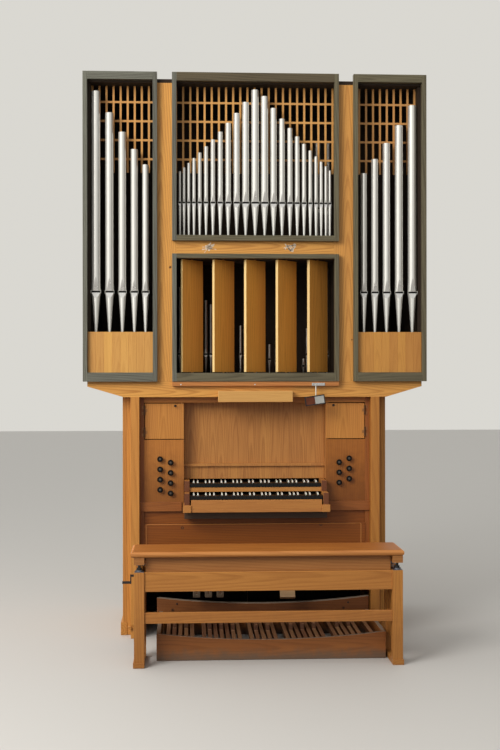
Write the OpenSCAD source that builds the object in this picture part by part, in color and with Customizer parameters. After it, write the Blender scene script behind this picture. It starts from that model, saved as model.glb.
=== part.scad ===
// Two-manual pipe organ with a swell box, pedalboard and adjustable bench.
// Millimetres. X runs to the right of someone facing the organ, Y runs away from them, Z is up.
// Inside the modules Y is counted from the front of the console posts; placed() then moves the
// whole instrument so that the origin lies on the floor under the middle of its outer box.

/* [Case] */
// Depth of the case behind the posts
case_depth = 1000; // [850:10:1300]
// Height of the case roof
case_h = 3293; // [3200:1:3500]
// Height where the upper case starts
upper_z = 1512; // [1490:1:1540]
// Height of the belly's flat underside
belly_z = 1420; // [1380:1:1440]
// Height of the belly's outer ends
belly_end_z = 1483; // [1470:1:1488]
// Thickness of the front boards and the roof
board_t = 22; // [18:0.5:28]
// Thickness of the side, floor and back boards
side_t = 18; // [12:0.5:20]
// Half the width between the two inner stiles
centre_half = 492; // [485:1:540]
// Width of each inner stile
stile_w = 87; // [70:1:120]
// Width of each tower frame
tower_w = 434; // [425:1:500]
// How far the tower frames reach past the case sides
frame_reach = 23; // [10:1:24]

/* [Raised frames] */
// How far the frames stand proud of the case
frame_d = 39; // [20:1:60]
// Width of the frames' upright members
frame_side = 26; // [24:0.5:32]
// Height of the frames' rails
frame_rail = 50; // [40:1:60]
// Height of the centre frame's lower rail
centre_low_rail = 32; // [24:1:50]
// How far the frames rise above the roof
frame_rise = 34; // [10:1:60]
// Height of the swell frame
swell_h = 751; // [700:1:800]
// Height of the plain rail between swell frame and centre frame
cross_rail_h = 77; // [60:1:100]
// Height of the pale panels at the foot of the towers
panel_h = 242; // [200:1:300]
// Thickness of the pale panels
panel_t = 20; // [12:1:24]

/* [Facade pipes] */
// Distance of the pipe axes behind the case front
pipe_y = 35; // [32:1:60]
// Wall of the pipe metal
pipe_wall = 1.2; // [0.8:0.1:2]
// Diameter of a pipe foot at its toe
toe_d = 11; // [8:0.5:12]
// Height of the mouths above the tower panels
tower_mouth_rise = 232; // [200:1:260]
// Height of the mouths above the centre frame's lower rail
centre_mouth_rise = 194; // [170:1:220]
// Drop from the roof to the top of the tallest tower pipe
tower_crown = 70; // [60:1:150]
// Drop from the roof to the top of the tallest centre pipe
centre_crown = 52; // [45:1:150]
// Steps of the scale in which the bodies of the tower pipes halve in length
tower_octave = 12.3; // [11:0.1:14]
// Steps of the scale in which the bodies of the centre pipes halve in length
centre_octave = 12; // [11:0.1:14]
// Diameter of the largest tower pipe
tower_pipe_d = 54; // [46:0.5:55]
// Diameter of the largest centre pipe
centre_pipe_d = 46; // [38:0.5:47]
// Distance from the case side to the axis of the first tower pipe
tower_pipe_in = 31.5; // [30:0.5:36]
// Spacing of the first two tower pipes
tower_pipe_pitch = 79.7; // [74:0.1:80]
// Spacing of the first two centre pipes
centre_pipe_pitch = 56.6; // [54:0.1:57]
// How far the toes stand below the edge that hides them
toe_sink = 10; // [8:1:30]
// How much lower still the tower toes stand
toe_hide = 26; // [10:1:40]
// Height of the mouth slots
mouth_h = 6; // [4:0.5:10]

/* [Lattices] */
// Width of a lattice bar
bar_w = 12; // [8:0.5:16]
// Thickness of a lattice bar
bar_t = 8; // [6:0.5:12]
// Spacing of the upright bars
bar_pitch_x = 43; // [36:0.5:60]
// Spacing of the level bars
bar_pitch_z = 113; // [90:1:140]
// Distance of the lattices behind the case front
lattice_y = 92; // [80:1:130]
// Height of the lattices' lower edge above the mouths of the centre pipes
lattice_rise = 190; // [20:1:300]
// Drop from the lattices' top to the first level bar that shows
bar_first = 95; // [60:1:110]

/* [Swell box] */
// Space beside the outer shutters
shutter_margin = 22; // [20:0.5:40]
// Thickness of a shutter
shutter_t = 27; // [24:0.5:32]
// Width of the lip where two shutters overlap
shutter_lip = 12; // [8:0.5:16]
// How far the shutters stand open
shutter_open = 48; // [0:1:80]
// Distance of the shutter axes behind the case front
shutter_y = 82; // [80:1:110]
// Running gap around the moving pieces
run_gap = 5; // [5:0.5:8]
// Diameter of the shutter pivots
pivot_d = 12; // [8:0.5:16]
// Depth of the swell box
swell_depth = 640; // [500:10:760]

/* [Console] */
// Half the width across the front posts
post_half = 737; // [725:1:745]
// Width of a front post
post_w = 51; // [40:1:60]
// Depth of a front post
post_d = 60; // [50:1:62]
// Half the width across the console sides
lower_half = 789; // [776:1:820]
// Distance of the console sides behind the posts
side_back = 107; // [90:1:140]
// Thickness of a console side
lower_side_t = 25; // [18:1:25]
// Height of the plinth blocks
plinth_h = 76; // [50:1:100]
// Distance of the console front behind the posts
face_y = 60; // [55:1:80]
// Width of the upright members round the console front
face_side = 26; // [20:1:36]
// Height of the rail over the small doors
face_rail = 34; // [24:1:50]
// Thickness of the cheeks beside the keys
cheek_t = 30; // [20:1:40]
// Gap between a cheek and the side of the desk recess
cheek_gap = 2.6; // [1:0.2:6]
// Depth of the desk recess
desk_depth = 90; // [60:1:120]
// Height of the small doors
door_h = 210; // [160:1:240]
// Height of the rail under the stop jambs
jamb_rail_h = 55; // [40:1:70]
// Height of the top of that rail
jamb_rail_z = 797; // [785:1:810]

/* [Stop knobs] */
// Diameter of a stop knob
knob_d = 35; // [28:0.5:40]
// Diameter of a knob's stem
stem_d = 12; // [10:0.5:16]
// Upward spacing of the knobs
knob_pitch = 60.5; // [52:0.5:64]

/* [Keyboards] */
// Width of one natural key
natural_w = 23.6; // [22.5:0.1:23.8]
// Gap between two natural keys
key_gap = 1; // [0.8:0.1:1.5]
// Width of a sharp key
sharp_w = 11; // [9:0.5:13]
// Height of a sharp above the naturals
sharp_rise = 12; // [9:0.5:14]
// Length of a sharp
sharp_len = 84; // [70:1:95]
// Height of the lower manual's naturals
lower_key_z = 844; // [830:1:850]
// Rise from one manual to the next
manual_rise = 64; // [60:1:80]
// Setback from one manual to the next
manual_back = 101; // [90:1:110]
// Distance of the lower keys' front ends before the posts
key_front = 85; // [70:1:100]
// Thickness of a key's front
key_t = 22; // [18:0.5:26]

/* [Pedalboard] */
// Place of its middle to the right of the organ's middle
board_x = 54; // [40:1:60]
// Half its width
board_half = 626; // [600:1:630]
// Distance of its front before the posts
board_front = 554; // [480:1:600]
// Depth from its front to its cap rail
board_depth = 614; // [560:1:660]
// Height of its front board's ends
board_end_h = 147; // [120:1:180]
// How much the middle lies lower than the ends
board_dip = 38; // [10:1:40]
// Width of a pedal key
pedal_w = 22; // [18:0.5:25]
// Spacing of the natural pedal keys
pedal_pitch = 66.4; // [62:0.1:66.5]

/* [Bench] */
// Place of the bench's middle to the right of the organ's middle
bench_x = 30; // [28:1:32]
// Half the width across the bench ends
bench_half = 717; // [712:1:730]
// Distance of the bench ends before the posts
bench_front = 709; // [700:1:720]
// Depth of the bench ends
bench_depth = 285; // [260:1:300]
// Width of a bench post
bench_post = 55; // [45:1:60]
// Height of the bench posts
bench_post_h = 505; // [480:1:530]
// Height of the seat's top
seat_z = 615; // [600:1:640]
// Thickness of the seat
seat_t = 32; // [24:1:36]
// Height of the bench's upper rails
bench_rail_h = 102; // [80:1:120]
// Height of the bench's lower rail
bench_low_h = 58; // [40:1:80]
// Height of the lower rail's underside
bench_low_z = 233; // [200:1:260]
// Overhang of the seat at its front
seat_nose = 10; // [4:1:30]
// Overhang of the seat at its ends
seat_reach = 12; // [10:1:30]

/* [Hidden] */
$fn = 48;

// Shared fits
joint = 0.2;
pin_fit = 0.1;

// Outlines of the case
tower_in = centre_half + stile_w;
tower_out = tower_in + tower_w;
upper_half = tower_out - frame_reach;
frame_top = case_h + frame_rise;
swell_top = upper_z + swell_h;
centre_z = swell_top + cross_rail_h;
lining_x = upper_half - side_t;
back_y = case_depth - side_t;
flat_half = lower_half - 12;

// The instrument's outer box along Y, and the shift that centres it
seat_front = bench_front + seat_nose;
shift_y = (seat_front - case_depth) / 2;

// Swell box
shutters = 5;
shutter_pitch = 2 * (centre_half - shutter_margin) / shutters;
swell_floor = upper_z + frame_rail + 1;
swell_ceiling = swell_top - frame_side + 1;
shutter_arm = shutter_pitch / 2 + (shutter_lip - run_gap) / 2;
shutter_sweep = sqrt(pow(shutter_arm, 2) + pow(shutter_t / 2, 2));
swell_wall_x = 2 * shutter_pitch + shutter_sweep + run_gap;
swell_back = board_t + swell_depth;

// Console
naturals = 33;
manual_w = naturals * natural_w;
cheek_in = manual_w / 2 + 2;
desk_half = cheek_in + cheek_t + cheek_gap;
recess_y = face_y + desk_depth;
post_in = post_half - post_w;
face_in = post_in - face_side;
door_top = belly_z - face_rail - run_gap;
door_low = door_top - door_h;
door_x0 = desk_half + 1;
door_x1 = face_in - run_gap;
jamb_top = door_low - run_gap;
face_t = 20;
hinge_r = 5;
hinge_pin_r = 2.5;
hinge_y = face_y - hinge_r;
hinge_x = face_in - run_gap / 2;
low_rail_z = jamb_rail_z - jamb_rail_h;
knee_z = 265;

// Keyboards
upper_key_z = lower_key_z + manual_rise;
key_back = recess_y;
cheek_rise = 17;

module placed() translate([0, shift_y, 0]) children();

// A board between two opposite corners
module board(a, b) {
    translate([min(a.x, b.x), min(a.y, b.y), min(a.z, b.z)])
        cube([abs(b.x - a.x), abs(b.y - a.y), abs(b.z - a.z)]);
}

// A rectangle with round corners, drawn from its lower left corner
module rounded(w, h, r) {
    translate([r, 0]) square([w - 2 * r, h]);
    translate([0, r]) square([w, h - 2 * r]);
    for (x = [r, w - r], y = [r, h - r]) translate([x, y]) circle(r);
}

// A bar along Y with its front end sloped back by the given run
module sloped_bar(w, l, h, run) {
    translate([-w / 2, 0, 0]) rotate([90, 0, 90]) linear_extrude(w)
        polygon([[0, 0], [l, 0], [l, h], [run, h]]);
}

// Copies its children to the other side of the middle too
module both_sides() {
    children();
    mirror([1, 0, 0]) children();
}

// A raised frame: two full-height uprights with a rail between them at each end
module raised_frame(x0, x1, z0, z1, top, low) {
    for (x = [x0, x1 - frame_side])
        board([x, -frame_d, z0], [x + frame_side, 0, z1]);
    board([x0 + frame_side + joint, -frame_d, z0], [x1 - frame_side - joint, 0, z0 + low]);
    board([x0 + frame_side + joint, -frame_d, z1 - top], [x1 - frame_side - joint, 0, z1]);
}

// Case

module case_front() placed() color("#c88a45") {
    rails_top = case_h - board_t;
    both_sides() {
        board([centre_half - frame_side + 2, 0, upper_z], [tower_in + frame_side, board_t, rails_top]);
        board([tower_out - frame_side - 4, 0, upper_z + joint], [upper_half, board_t, rails_top]);
    }
    board([-centre_half + frame_side - 2 + joint, 0, swell_top - frame_side],
          [centre_half - frame_side + 2 - joint, board_t, centre_z + centre_low_rail]);
}

// The board under the frames, with its ends cut to a slant
module fascia_board() placed() color("#cc8f4a")
    translate([0, board_t, 0]) rotate([90, 0, 0]) linear_extrude(board_t)
        polygon([[-upper_half, upper_z - joint], [-upper_half, belly_end_z], [-flat_half, belly_z],
                 [flat_half, belly_z], [upper_half, belly_end_z], [upper_half, upper_z - joint]]);

module case_sides() placed() color("#b9803f") both_sides()
    board([lining_x, board_t, belly_end_z], [upper_half, back_y, case_h - board_t]);

module back_panels() placed() color("#a8743a") {
    third = upper_half / 3;
    for (i = [-1, 0, 1])
        board([(2 * i - 1) * third + joint / 2, back_y, belly_end_z],
              [(2 * i + 1) * third - joint / 2, case_depth, case_h - board_t]);
    for (s = [-1, 1])
        board([s * joint / 2, back_y, 0], [s * (lower_half - lower_side_t), case_depth, belly_z]);
}

module case_roof() placed() color("#a8743a")
    board([-upper_half, 0, case_h - board_t], [upper_half, case_depth, case_h]);

// Floor of the upper case: a flat middle and two slanted wings
module case_floor() placed() color("#b07a3c") {
    board([-flat_half + joint, board_t, belly_z], [flat_half - joint, case_depth, belly_z + side_t]);
    both_sides()
        translate([0, case_depth, 0]) rotate([90, 0, 0]) linear_extrude(case_depth - board_t)
            polygon([[flat_half, belly_z], [upper_half, belly_end_z - joint],
                     [lining_x - joint, belly_end_z - joint],
                     [flat_half, belly_z + side_t]]);
}

// Raised frames

module tower_frames() placed() color("#5d675e") both_sides()
    raised_frame(tower_in, tower_out, upper_z, frame_top, frame_rail - 4, frame_rail + 3);

module centre_frame() placed() color("#5d675e")
    raised_frame(-centre_half, centre_half, centre_z, frame_top, frame_rail, centre_low_rail);

module swell_frame() placed() color("#5d675e")
    raised_frame(-centre_half, centre_half, upper_z, swell_top, frame_side, frame_rail + 1);

module tower_panels() placed() color("#d2a061") {
    strips = 8;
    w = (tower_w - 2 * frame_side - 2 * joint) / strips;
    both_sides() for (i = [0 : strips - 1])
        board([tower_in + frame_side + joint + i * w + joint / 2, -panel_t + 8, upper_z + frame_rail + 3],
              [tower_in + frame_side + joint + (i + 1) * w - joint / 2, -joint,
               upper_z + frame_rail + panel_h]);
}

// Pipes

// One open flue pipe of diameter d: a conical foot, a mouth with its flattened lips, and a
// body that is hollow above the upper lip. The mouth lies at height m above the toe.
module flue_pipe(d, m, h) {
    r = d / 2;
    lip = 1.7 * d;
    cut = r * 0.16;
    tilt = atan(cut / lip);
    ear = d * 0.12;
    difference() {
        union() {
            cylinder(h = m, r1 = toe_d / 2, r2 = r);
            translate([0, 0, m]) cylinder(h = h - m, r = r);
        }
        translate([0, 0, m + lip + 4]) cylinder(h = h, r = r - pipe_wall);
        translate([-r, -r - 1, m]) cube([d, 1 + 0.34 * r, mouth_h]);
        translate([0, cut - r, m]) rotate([-tilt, 0, 0]) translate([-r, -d, 0]) cube([d, d, lip + 3]);
        translate([0, cut - r, m]) rotate([180 + tilt, 0, 0]) translate([-r, 0, -3])
            cube([d, d, lip * 0.6 + 3]);
    }
    for (s = [-1, 1])
        translate([s * r * 0.74 - ear / 4, -r - ear / 2, m - 4])
            cube([ear / 2, r * 0.5, mouth_h + 10]);
}

// Pipe lengths follow the steps of a scale: step 0 is the lowest note of a field, and the notes
// are dealt out to the left and the right in turn
tower_n = 5;
tower_squeeze = 2.3;
tower_halving = 18;
tower_toe_z = upper_z + frame_rail + panel_h - toe_sink - toe_hide;
tower_mouth = tower_mouth_rise + toe_sink + toe_hide;
tower_body = case_h - tower_crown - tower_toe_z - tower_mouth;
function tower_x(i) = lining_x - tower_pipe_in - (tower_pipe_pitch + tower_squeeze) * i
    + tower_squeeze * i * i;
function tower_d(k) = tower_pipe_d * pow(2, -k / tower_halving);
function tower_len(k) = tower_mouth + tower_body * pow(2, -k / tower_octave);

module tower_pipes() placed() color("#c9c9cc")
    for (i = [0 : tower_n - 1], right = [0, 1]) {
        k = 2 * i + right;
        translate([(right ? 1 : -1) * tower_x(i), pipe_y, tower_toe_z])
            flue_pipe(tower_d(k), tower_mouth, tower_len(k));
    }

// The centre field falls away from its tallest pipe to both sides
centre_n = 11;
centre_squeeze = 1.6;
centre_halving = 13.2;
centre_toe_z = centre_z + centre_low_rail - toe_sink;
centre_mouth = centre_mouth_rise + toe_sink;
centre_body = case_h - centre_crown - centre_toe_z - centre_mouth;
function centre_x(i) = sign(i) * ((centre_pipe_pitch + centre_squeeze) * abs(i)
    - centre_squeeze * i * i);
function centre_k(i) = i > 0 ? 2 * i - 1 : -2 * i;
function centre_d(k) = centre_pipe_d * pow(2, -k / centre_halving);
function centre_len(k) = centre_mouth + centre_body * pow(2, -k / centre_octave);

module centre_pipes() placed() color("#c9c9cc")
    for (i = [-centre_n : centre_n])
        translate([centre_x(i), pipe_y, centre_toe_z])
            flue_pipe(centre_d(centre_k(i)), centre_mouth, centre_len(centre_k(i)));

// Square lattice of thin bars, fused where they cross
module lattice(x0, x1, z0, z1) {
    nx = round((x1 - x0 - bar_w) / bar_pitch_x);
    px = (x1 - x0 - bar_w) / nx;
    for (i = [0 : nx])
        board([x0 + i * px, lattice_y, z0], [x0 + i * px + bar_w, lattice_y + bar_t, z1]);
    for (z = [z1 - bar_first : -bar_pitch_z : z0])
        board([x0, lattice_y, z - bar_w / 2], [x1, lattice_y + bar_t, z + bar_w / 2]);
}

module pipe_lattices() placed() color("#c07c3a") {
    top = case_h - board_t;
    low = centre_toe_z + centre_mouth + lattice_rise;
    both_sides() lattice(tower_in + 4, lining_x, low, top);
    lattice(-tower_in - 4 + board_t, tower_in + 4 - board_t, low, top);
}

// Boards that the facade pipes stand on
tower_chest_d = 308;
tower_chest_h = 40;
centre_chest_d = 538;
module toe_boards() placed() color("#8f6234") {
    both_sides()
        board([tower_in + 6, board_t, tower_toe_z - tower_chest_h],
              [lining_x, board_t + tower_chest_d, tower_toe_z]);
    board([-centre_half, board_t, swell_top + side_t + joint],
          [centre_half, board_t + centre_chest_d, centre_toe_z]);
}

// Swell box and its shutters

module pivots(z, h, r) {
    for (i = [-2 : 2]) translate([i * shutter_pitch, shutter_y, z]) cylinder(h = h, r = r);
}

module swell_box() placed() color("#4a3424") {
    bore = pivot_d / 2 + pin_fit;
    wall = swell_wall_x + side_t;
    difference() {
        board([-wall, board_t, swell_floor - side_t], [wall, swell_back, swell_floor]);
        pivots(swell_floor - side_t - 1, side_t + 2, bore);
    }
    difference() {
        board([-wall, board_t, swell_ceiling], [wall, swell_back, swell_ceiling + side_t]);
        pivots(swell_ceiling - 1, side_t + 2, bore);
    }
    both_sides()
        board([swell_wall_x, board_t, swell_floor + joint], [wall, swell_back, swell_ceiling - joint]);
    board([-swell_wall_x + joint, swell_back - side_t, swell_floor + joint],
          [swell_wall_x - joint, swell_back, swell_ceiling - joint]);
}

// A shutter lies across its axis: the left lip is its front half, the right lip its back half
module shutter(i) placed() color("#c98a43") {
    lip_t = (shutter_t - run_gap) / 2;
    full = shutter_pitch / 2 - (shutter_lip + run_gap) / 2;
    z0 = swell_floor + run_gap;
    h = swell_ceiling - swell_floor - 2 * run_gap;
    translate([i * shutter_pitch, shutter_y, 0]) rotate([0, 0, shutter_open]) {
        board([-full, -shutter_t / 2, z0], [full, shutter_t / 2, z0 + h]);
        board([-shutter_arm, -shutter_t / 2, z0], [0, -shutter_t / 2 + lip_t, z0 + h]);
        board([0, shutter_t / 2 - lip_t, z0], [shutter_arm, shutter_t / 2, z0 + h]);
        translate([0, 0, z0 - run_gap - side_t + 1])
            cylinder(h = h + 2 * run_gap + 2 * side_t - 2, d = pivot_d);
    }
}

module swell_shutter_1() shutter(-2);
module swell_shutter_2() shutter(-1);
module swell_shutter_3() shutter(0);
module swell_shutter_4() shutter(1);
module swell_shutter_5() shutter(2);

// Pipes that show between the shutters, each with its place across in shutter spacings, its row
// from the front, its diameter and its length as a share of the box; two more stand behind the
// centre lattice, each with its place across as a share of the opening and its diameter
inner_places = [[-2.39, 0, 22, 0.78], [-1.97, 2, 32, 0.85], [-1.54, 1, 24, 0.66], [-1.38, 0, 18, 0.62],
    [-0.85, 1, 26, 0.5], [-0.41, 0, 17, 0.43], [-0.25, 1, 24, 0.4], [0.11, 2, 30, 0.55],
    [0.55, 1, 18, 0.26], [0.76, 0, 20, 0.22], [1.22, 2, 26, 0.45], [1.65, 0, 20, 0.13],
    [1.8, 2, 18, 0.41], [1.92, 1, 36, 0.72], [2.42, 0, 20, 0.95]];
inner_row_y = shutter_y + 178;
inner_row = 35;
inner_mouth = 110;
back_row_y = 250;
back_row_len = 620;
back_places = [[0.802, 44], [0.939, 26]];

module inner_pipes() placed() color("#b9b9bb") {
    for (p = inner_places) {
        len = p[3] * (swell_ceiling - swell_floor);
        translate([p[0] * shutter_pitch, inner_row_y + p[1] * inner_row, swell_floor])
            flue_pipe(p[2], min(inner_mouth, 0.45 * len), len);
    }
    for (p = back_places)
        translate([p[0] * centre_half, back_row_y, centre_toe_z])
            flue_pipe(p[1], centre_mouth, back_row_len);
}

// Trim on the fascia

module ledge_strip() placed() color("#a9713a")
    board([-centre_half, -ledge_out, upper_z - ledge_h], [centre_half, -joint, upper_z - joint]);

lamp_left = 223;
lamp_right = 216;
lamp_out = 52;
lamp_low = 29;
lamp_rise = 36;
module desk_lamp() placed() color("#d9b077")
    board([-lamp_left, -lamp_out, belly_z - lamp_low], [lamp_right, -joint, belly_z + lamp_rise]);

// Metal fittings that stay put: the mirror's plate, the pedal's bracket, the door hinges and
// the nuts of the bench's jacks
ledge_h = 26;
ledge_out = frame_d - 6;
mirror_x = centre_half - 140;
mirror_y = -ledge_out - 16;
plate_z = upper_z - ledge_h + 1;
arm_r = 3.5;
collar_r = 6;
pedal_x = 182;
pedal_y = face_y - 74;
pedal_pin_z = 322;
pedal_pin_r = 5;
pedal_half = 44;
hinge_h = 54;
function hinge_zs() = [door_low + 14, door_top - 14 - hinge_h];

module pedal_bracket() {
    board([pedal_x - pedal_half - 12, face_y - 8, pedal_pin_z - 24],
          [pedal_x + pedal_half + 12, face_y - 4, pedal_pin_z + 24]);
    for (s = [-1, 1])
        board([pedal_x + s * (pedal_half + 6), pedal_y - 12, pedal_pin_z - 12],
              [pedal_x + s * (pedal_half + 10), face_y - 8, pedal_pin_z + 12]);
    translate([pedal_x - pedal_half - 8, pedal_y, pedal_pin_z]) rotate([0, 90, 0])
        cylinder(h = 2 * pedal_half + 16, r = pedal_pin_r);
}

module mirror_plate() {
    board([mirror_x - 22, -ledge_out - 4, plate_z], [mirror_x + 55, -ledge_out, plate_z + 16]);
    difference() {
        board([mirror_x - 9, mirror_y - 9, plate_z], [mirror_x + 9, -ledge_out - 4, plate_z + 4]);
        translate([mirror_x, mirror_y, plate_z - 1]) cylinder(h = 6, r = arm_r + pin_fit);
    }
}

// The fixed half of a door hinge: a leaf, the outer knuckles and the pin
module hinge_half(z) {
    third = hinge_h / 3;
    translate([hinge_x, hinge_y, z]) {
        cylinder(h = hinge_h, r = hinge_pin_r);
        for (k = [0, 2]) translate([0, 0, k * third]) {
            cylinder(h = third, r = hinge_r);
            board([0, hinge_r - 2, 0], [16, hinge_r - joint, third]);
        }
    }
}

module jack_nut(x, y) translate([x, y, bench_post_h + joint]) difference() {
    union() {
        translate([-bench_post / 2 + 3, -bench_post / 2 + 3, 0]) cube([bench_post - 6, bench_post - 6, 3]);
        translate([0, 0, 3]) cylinder(h = 8, r = 20);
        translate([0, 0, 11]) cylinder(h = 11, r = 14);
    }
    translate([0, 0, -1]) cylinder(h = 24, r = jack_r + pin_fit);
}

module metal_brackets() placed() color("#b4b4b4") {
    mirror_plate();
    pedal_bracket();
    both_sides() for (z = hinge_zs()) hinge_half(z);
    jack_places() jack_nut(0, 0);
}

// The swivel arm hangs from the plate; the mirror tilts on a cross pin at its lower end
head_z = 1413;
cross_r = 3;
cross_half = 14;
module mirror_arm() placed() color("#d5d5d5") translate([mirror_x, mirror_y, 0]) {
    translate([0, 0, head_z]) cylinder(h = plate_z + 7 - head_z, r = arm_r);
    translate([0, 0, plate_z + 4.3]) cylinder(h = 3, r = collar_r);
    translate([0, 0, plate_z - 3.3]) cylinder(h = 3, r = collar_r);
    translate([-cross_half, 0, head_z]) rotate([0, 90, 0]) cylinder(h = 2 * cross_half, r = cross_r);
}

mirror_w = 118;
mirror_h = 55;
mirror_t = 14;
mirror_lean = 8;
lug_out = 15;
module mirror_head() placed() color("#2a2a2c") translate([mirror_x, mirror_y, head_z]) {
    rotate([90, -mirror_lean, 0]) translate([-68, -38, lug_out - 1])
        linear_extrude(mirror_t) rounded(mirror_w, mirror_h, 7);
    for (s = [-1, 1]) difference() {
        board([s * (cross_half - 6), -lug_out, -6], [s * (cross_half - 1), 6, 6]);
        translate([-cross_half - 6, 0, 0]) rotate([0, 90, 0])
            cylinder(h = 2 * cross_half + 12, r = cross_r + pin_fit);
    }
}

// Console

module front_posts() placed() color("#c98c47") {
    both_sides() {
        board([post_in, 0, plinth_h + joint], [post_half, post_d, belly_z]);
        board([post_in, 4, 0], [post_half, post_d, plinth_h]);
        board([post_half - 22, post_d + joint, 0], [post_half, side_back + 40, belly_z]);
        board([post_half + joint, side_back, 0],
              [lower_half - lower_side_t - joint, side_back + 18, belly_z]);
    }
    translate([-post_half - 6, 3.8, 66]) rotate([90, 0, 0]) cylinder(h = 16, r = 11);
}

module console_sides() placed() color("#c0813d") both_sides() {
    board([lower_half - lower_side_t, side_back, plinth_h + joint], [lower_half, case_depth, belly_z]);
    board([lower_half - lower_side_t, side_back - 4, 0], [lower_half + 12, case_depth, plinth_h]);
}

module console_frame() placed() color("#a96f35") {
    both_sides() {
        board([face_in, face_y, knee_z], [post_in - joint, face_y + face_t, belly_z]);
        board([desk_half + 14, face_y - 14, low_rail_z], [post_in - joint, face_y - joint, jamb_rail_z]);
    }
    board([-face_in + joint, face_y, belly_z - face_rail], [face_in - joint, face_y + face_t, belly_z]);
}

// Columns of stop knobs, four and four on the left and three and three on the right, each with
// its place and how much lower it starts
knob_cols = [[-565, 0], [-503, -21], [501, -23], [561, 0]];
knob_drop = 114;
knob_top = jamb_top - knob_drop;
function knob_col(n) = n < 4 ? 0 : n < 8 ? 1 : n < 11 ? 2 : 3;
function knob_step(n) = n < 8 ? n % 4 : (n - 8) % 3;
function knob_place(n) =
    [knob_cols[knob_col(n)][0], knob_top + knob_cols[knob_col(n)][1] - knob_step(n) * knob_pitch];

module stop_jambs() placed() color("#bd8040") difference() {
    both_sides()
        board([desk_half + 1, face_y, jamb_rail_z - jamb_rail_h],
              [face_in - joint, face_y + face_t, jamb_top]);
    for (n = [0 : 13])
        translate([knob_place(n)[0], face_y - 1, knob_place(n)[1]]) rotate([-90, 0, 0])
            cylinder(h = face_t + 2, d = stem_d + 2 * pin_fit);
}

module stop_knob(n) placed() color("#1b1b1d")
    translate([knob_place(n)[0], face_y - 0.3, knob_place(n)[1]]) rotate([90, 0, 0]) {
        translate([0, 0, -face_t - 40]) cylinder(h = face_t + 41, d = stem_d);
        rotate_extrude()
            polygon([[0, 0], [knob_d * 0.3, 0], [knob_d * 0.26, 8], [knob_d * 0.34, 14],
                     [knob_d * 0.47, 17], [knob_d / 2, 20], [knob_d * 0.47, 24], [knob_d * 0.38, 26],
                     [knob_d * 0.34, 25], [0, 25]]);
    }

module stop_knob_1() stop_knob(0);
module stop_knob_2() stop_knob(1);
module stop_knob_3() stop_knob(2);
module stop_knob_4() stop_knob(3);
module stop_knob_5() stop_knob(4);
module stop_knob_6() stop_knob(5);
module stop_knob_7() stop_knob(6);
module stop_knob_8() stop_knob(7);
module stop_knob_9() stop_knob(8);
module stop_knob_10() stop_knob(9);
module stop_knob_11() stop_knob(10);
module stop_knob_12() stop_knob(11);
module stop_knob_13() stop_knob(12);
module stop_knob_14() stop_knob(13);

// Desk recess: two cheeks, a back panel and the ledge that music stands on
module music_desk() placed() color("#b87a3a") {
    ledge_z = upper_key_z + 94;
    both_sides()
        board([desk_half, face_y + face_t + joint, upper_key_z + 18],
              [desk_half + side_t, recess_y, belly_z - joint]);
    board([-desk_half + joint, recess_y, upper_key_z + 18],
          [desk_half - joint, recess_y + 16, belly_z - joint]);
    board([-desk_half + joint, recess_y - 26, ledge_z],
          [desk_half - joint, recess_y - joint, ledge_z + 16]);
    board([-desk_half + joint, recess_y - 8, upper_key_z + sharp_rise + 6],
          [desk_half - joint, recess_y - joint, ledge_z - joint]);
}

// Cheeks and blocks beside the keys, the slip before them and the boards under them
slip_d = 18;
slip_h = 54;
base_h = 18;
block_step = 9;
block_h = 42;
key_bed_h = 46;
module key_frame() placed() color("#c08546") {
    front = -key_front - 14;
    slip_half = cheek_in - block_step - joint;
    slip_low = lower_key_z - key_t - slip_h;
    slip_top = lower_key_z - key_t - 2 * joint;
    block_low = slip_low - base_h;
    both_sides() {
        board([cheek_in, -key_front + manual_back - 12, lower_key_z + cheek_rise],
              [cheek_in + cheek_t, recess_y - joint, upper_key_z + cheek_rise]);
        board([cheek_in, -key_front - 12, block_low + block_h],
              [cheek_in + cheek_t, recess_y - joint, lower_key_z + cheek_rise - joint]);
        board([cheek_in - block_step, front - 10, block_low],
              [cheek_in + cheek_t + 8, face_y - joint, block_low + block_h - joint]);
    }
    board([-cheek_in + joint, -key_front + manual_back + 4, lower_key_z + sharp_rise + 3],
          [cheek_in - joint, -key_front + manual_back + 24, upper_key_z - key_t - joint]);
    board([-slip_half, front, slip_low], [slip_half, front + slip_d, slip_top]);
    board([-slip_half, front, block_low], [slip_half, recess_y - joint, slip_low - joint]);
    for (y = [front + 24, face_y - 44])
        board([-slip_half, y, slip_low], [slip_half, y + 30, slip_top]);
    board([-desk_half + 2, -16, block_low - key_bed_h],
          [desk_half - 2, face_y + 10 - joint, block_low - joint]);
}

// One manual's naturals, starting at C, and the gaps after which a sharp stands
sharp_after = [0, 1, 3, 4, 5];
sharp_slope = 5;
function has_sharp(i) = len([for (s = sharp_after) if (i % 7 == s) s]) > 0 && i < naturals - 1;

module manual_places(sharps) {
    for (i = [0 : naturals - 1])
        if (!sharps || has_sharp(i))
            translate([-manual_w / 2 + (i + (sharps ? 1 : 0.5)) * natural_w, 0, 0]) children();
}

module natural_keys() placed() color("#1c1b1c")
    for (m = [0, 1]) translate([0, m * manual_back - key_front, lower_key_z + m * manual_rise])
        manual_places(false)
            board([-(natural_w - key_gap) / 2, 0, -key_t],
                  [(natural_w - key_gap) / 2, recess_y + key_front - manual_back - joint, 0]);

module sharp_keys() placed() color("#e8e3d6")
    for (m = [0, 1]) translate([0, m * manual_back - key_front, lower_key_z + m * manual_rise])
        manual_places(true)
            translate([0, recess_y + key_front - manual_back - joint - sharp_len, 0])
                sloped_bar(sharp_w, sharp_len, sharp_rise, sharp_slope);

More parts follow.
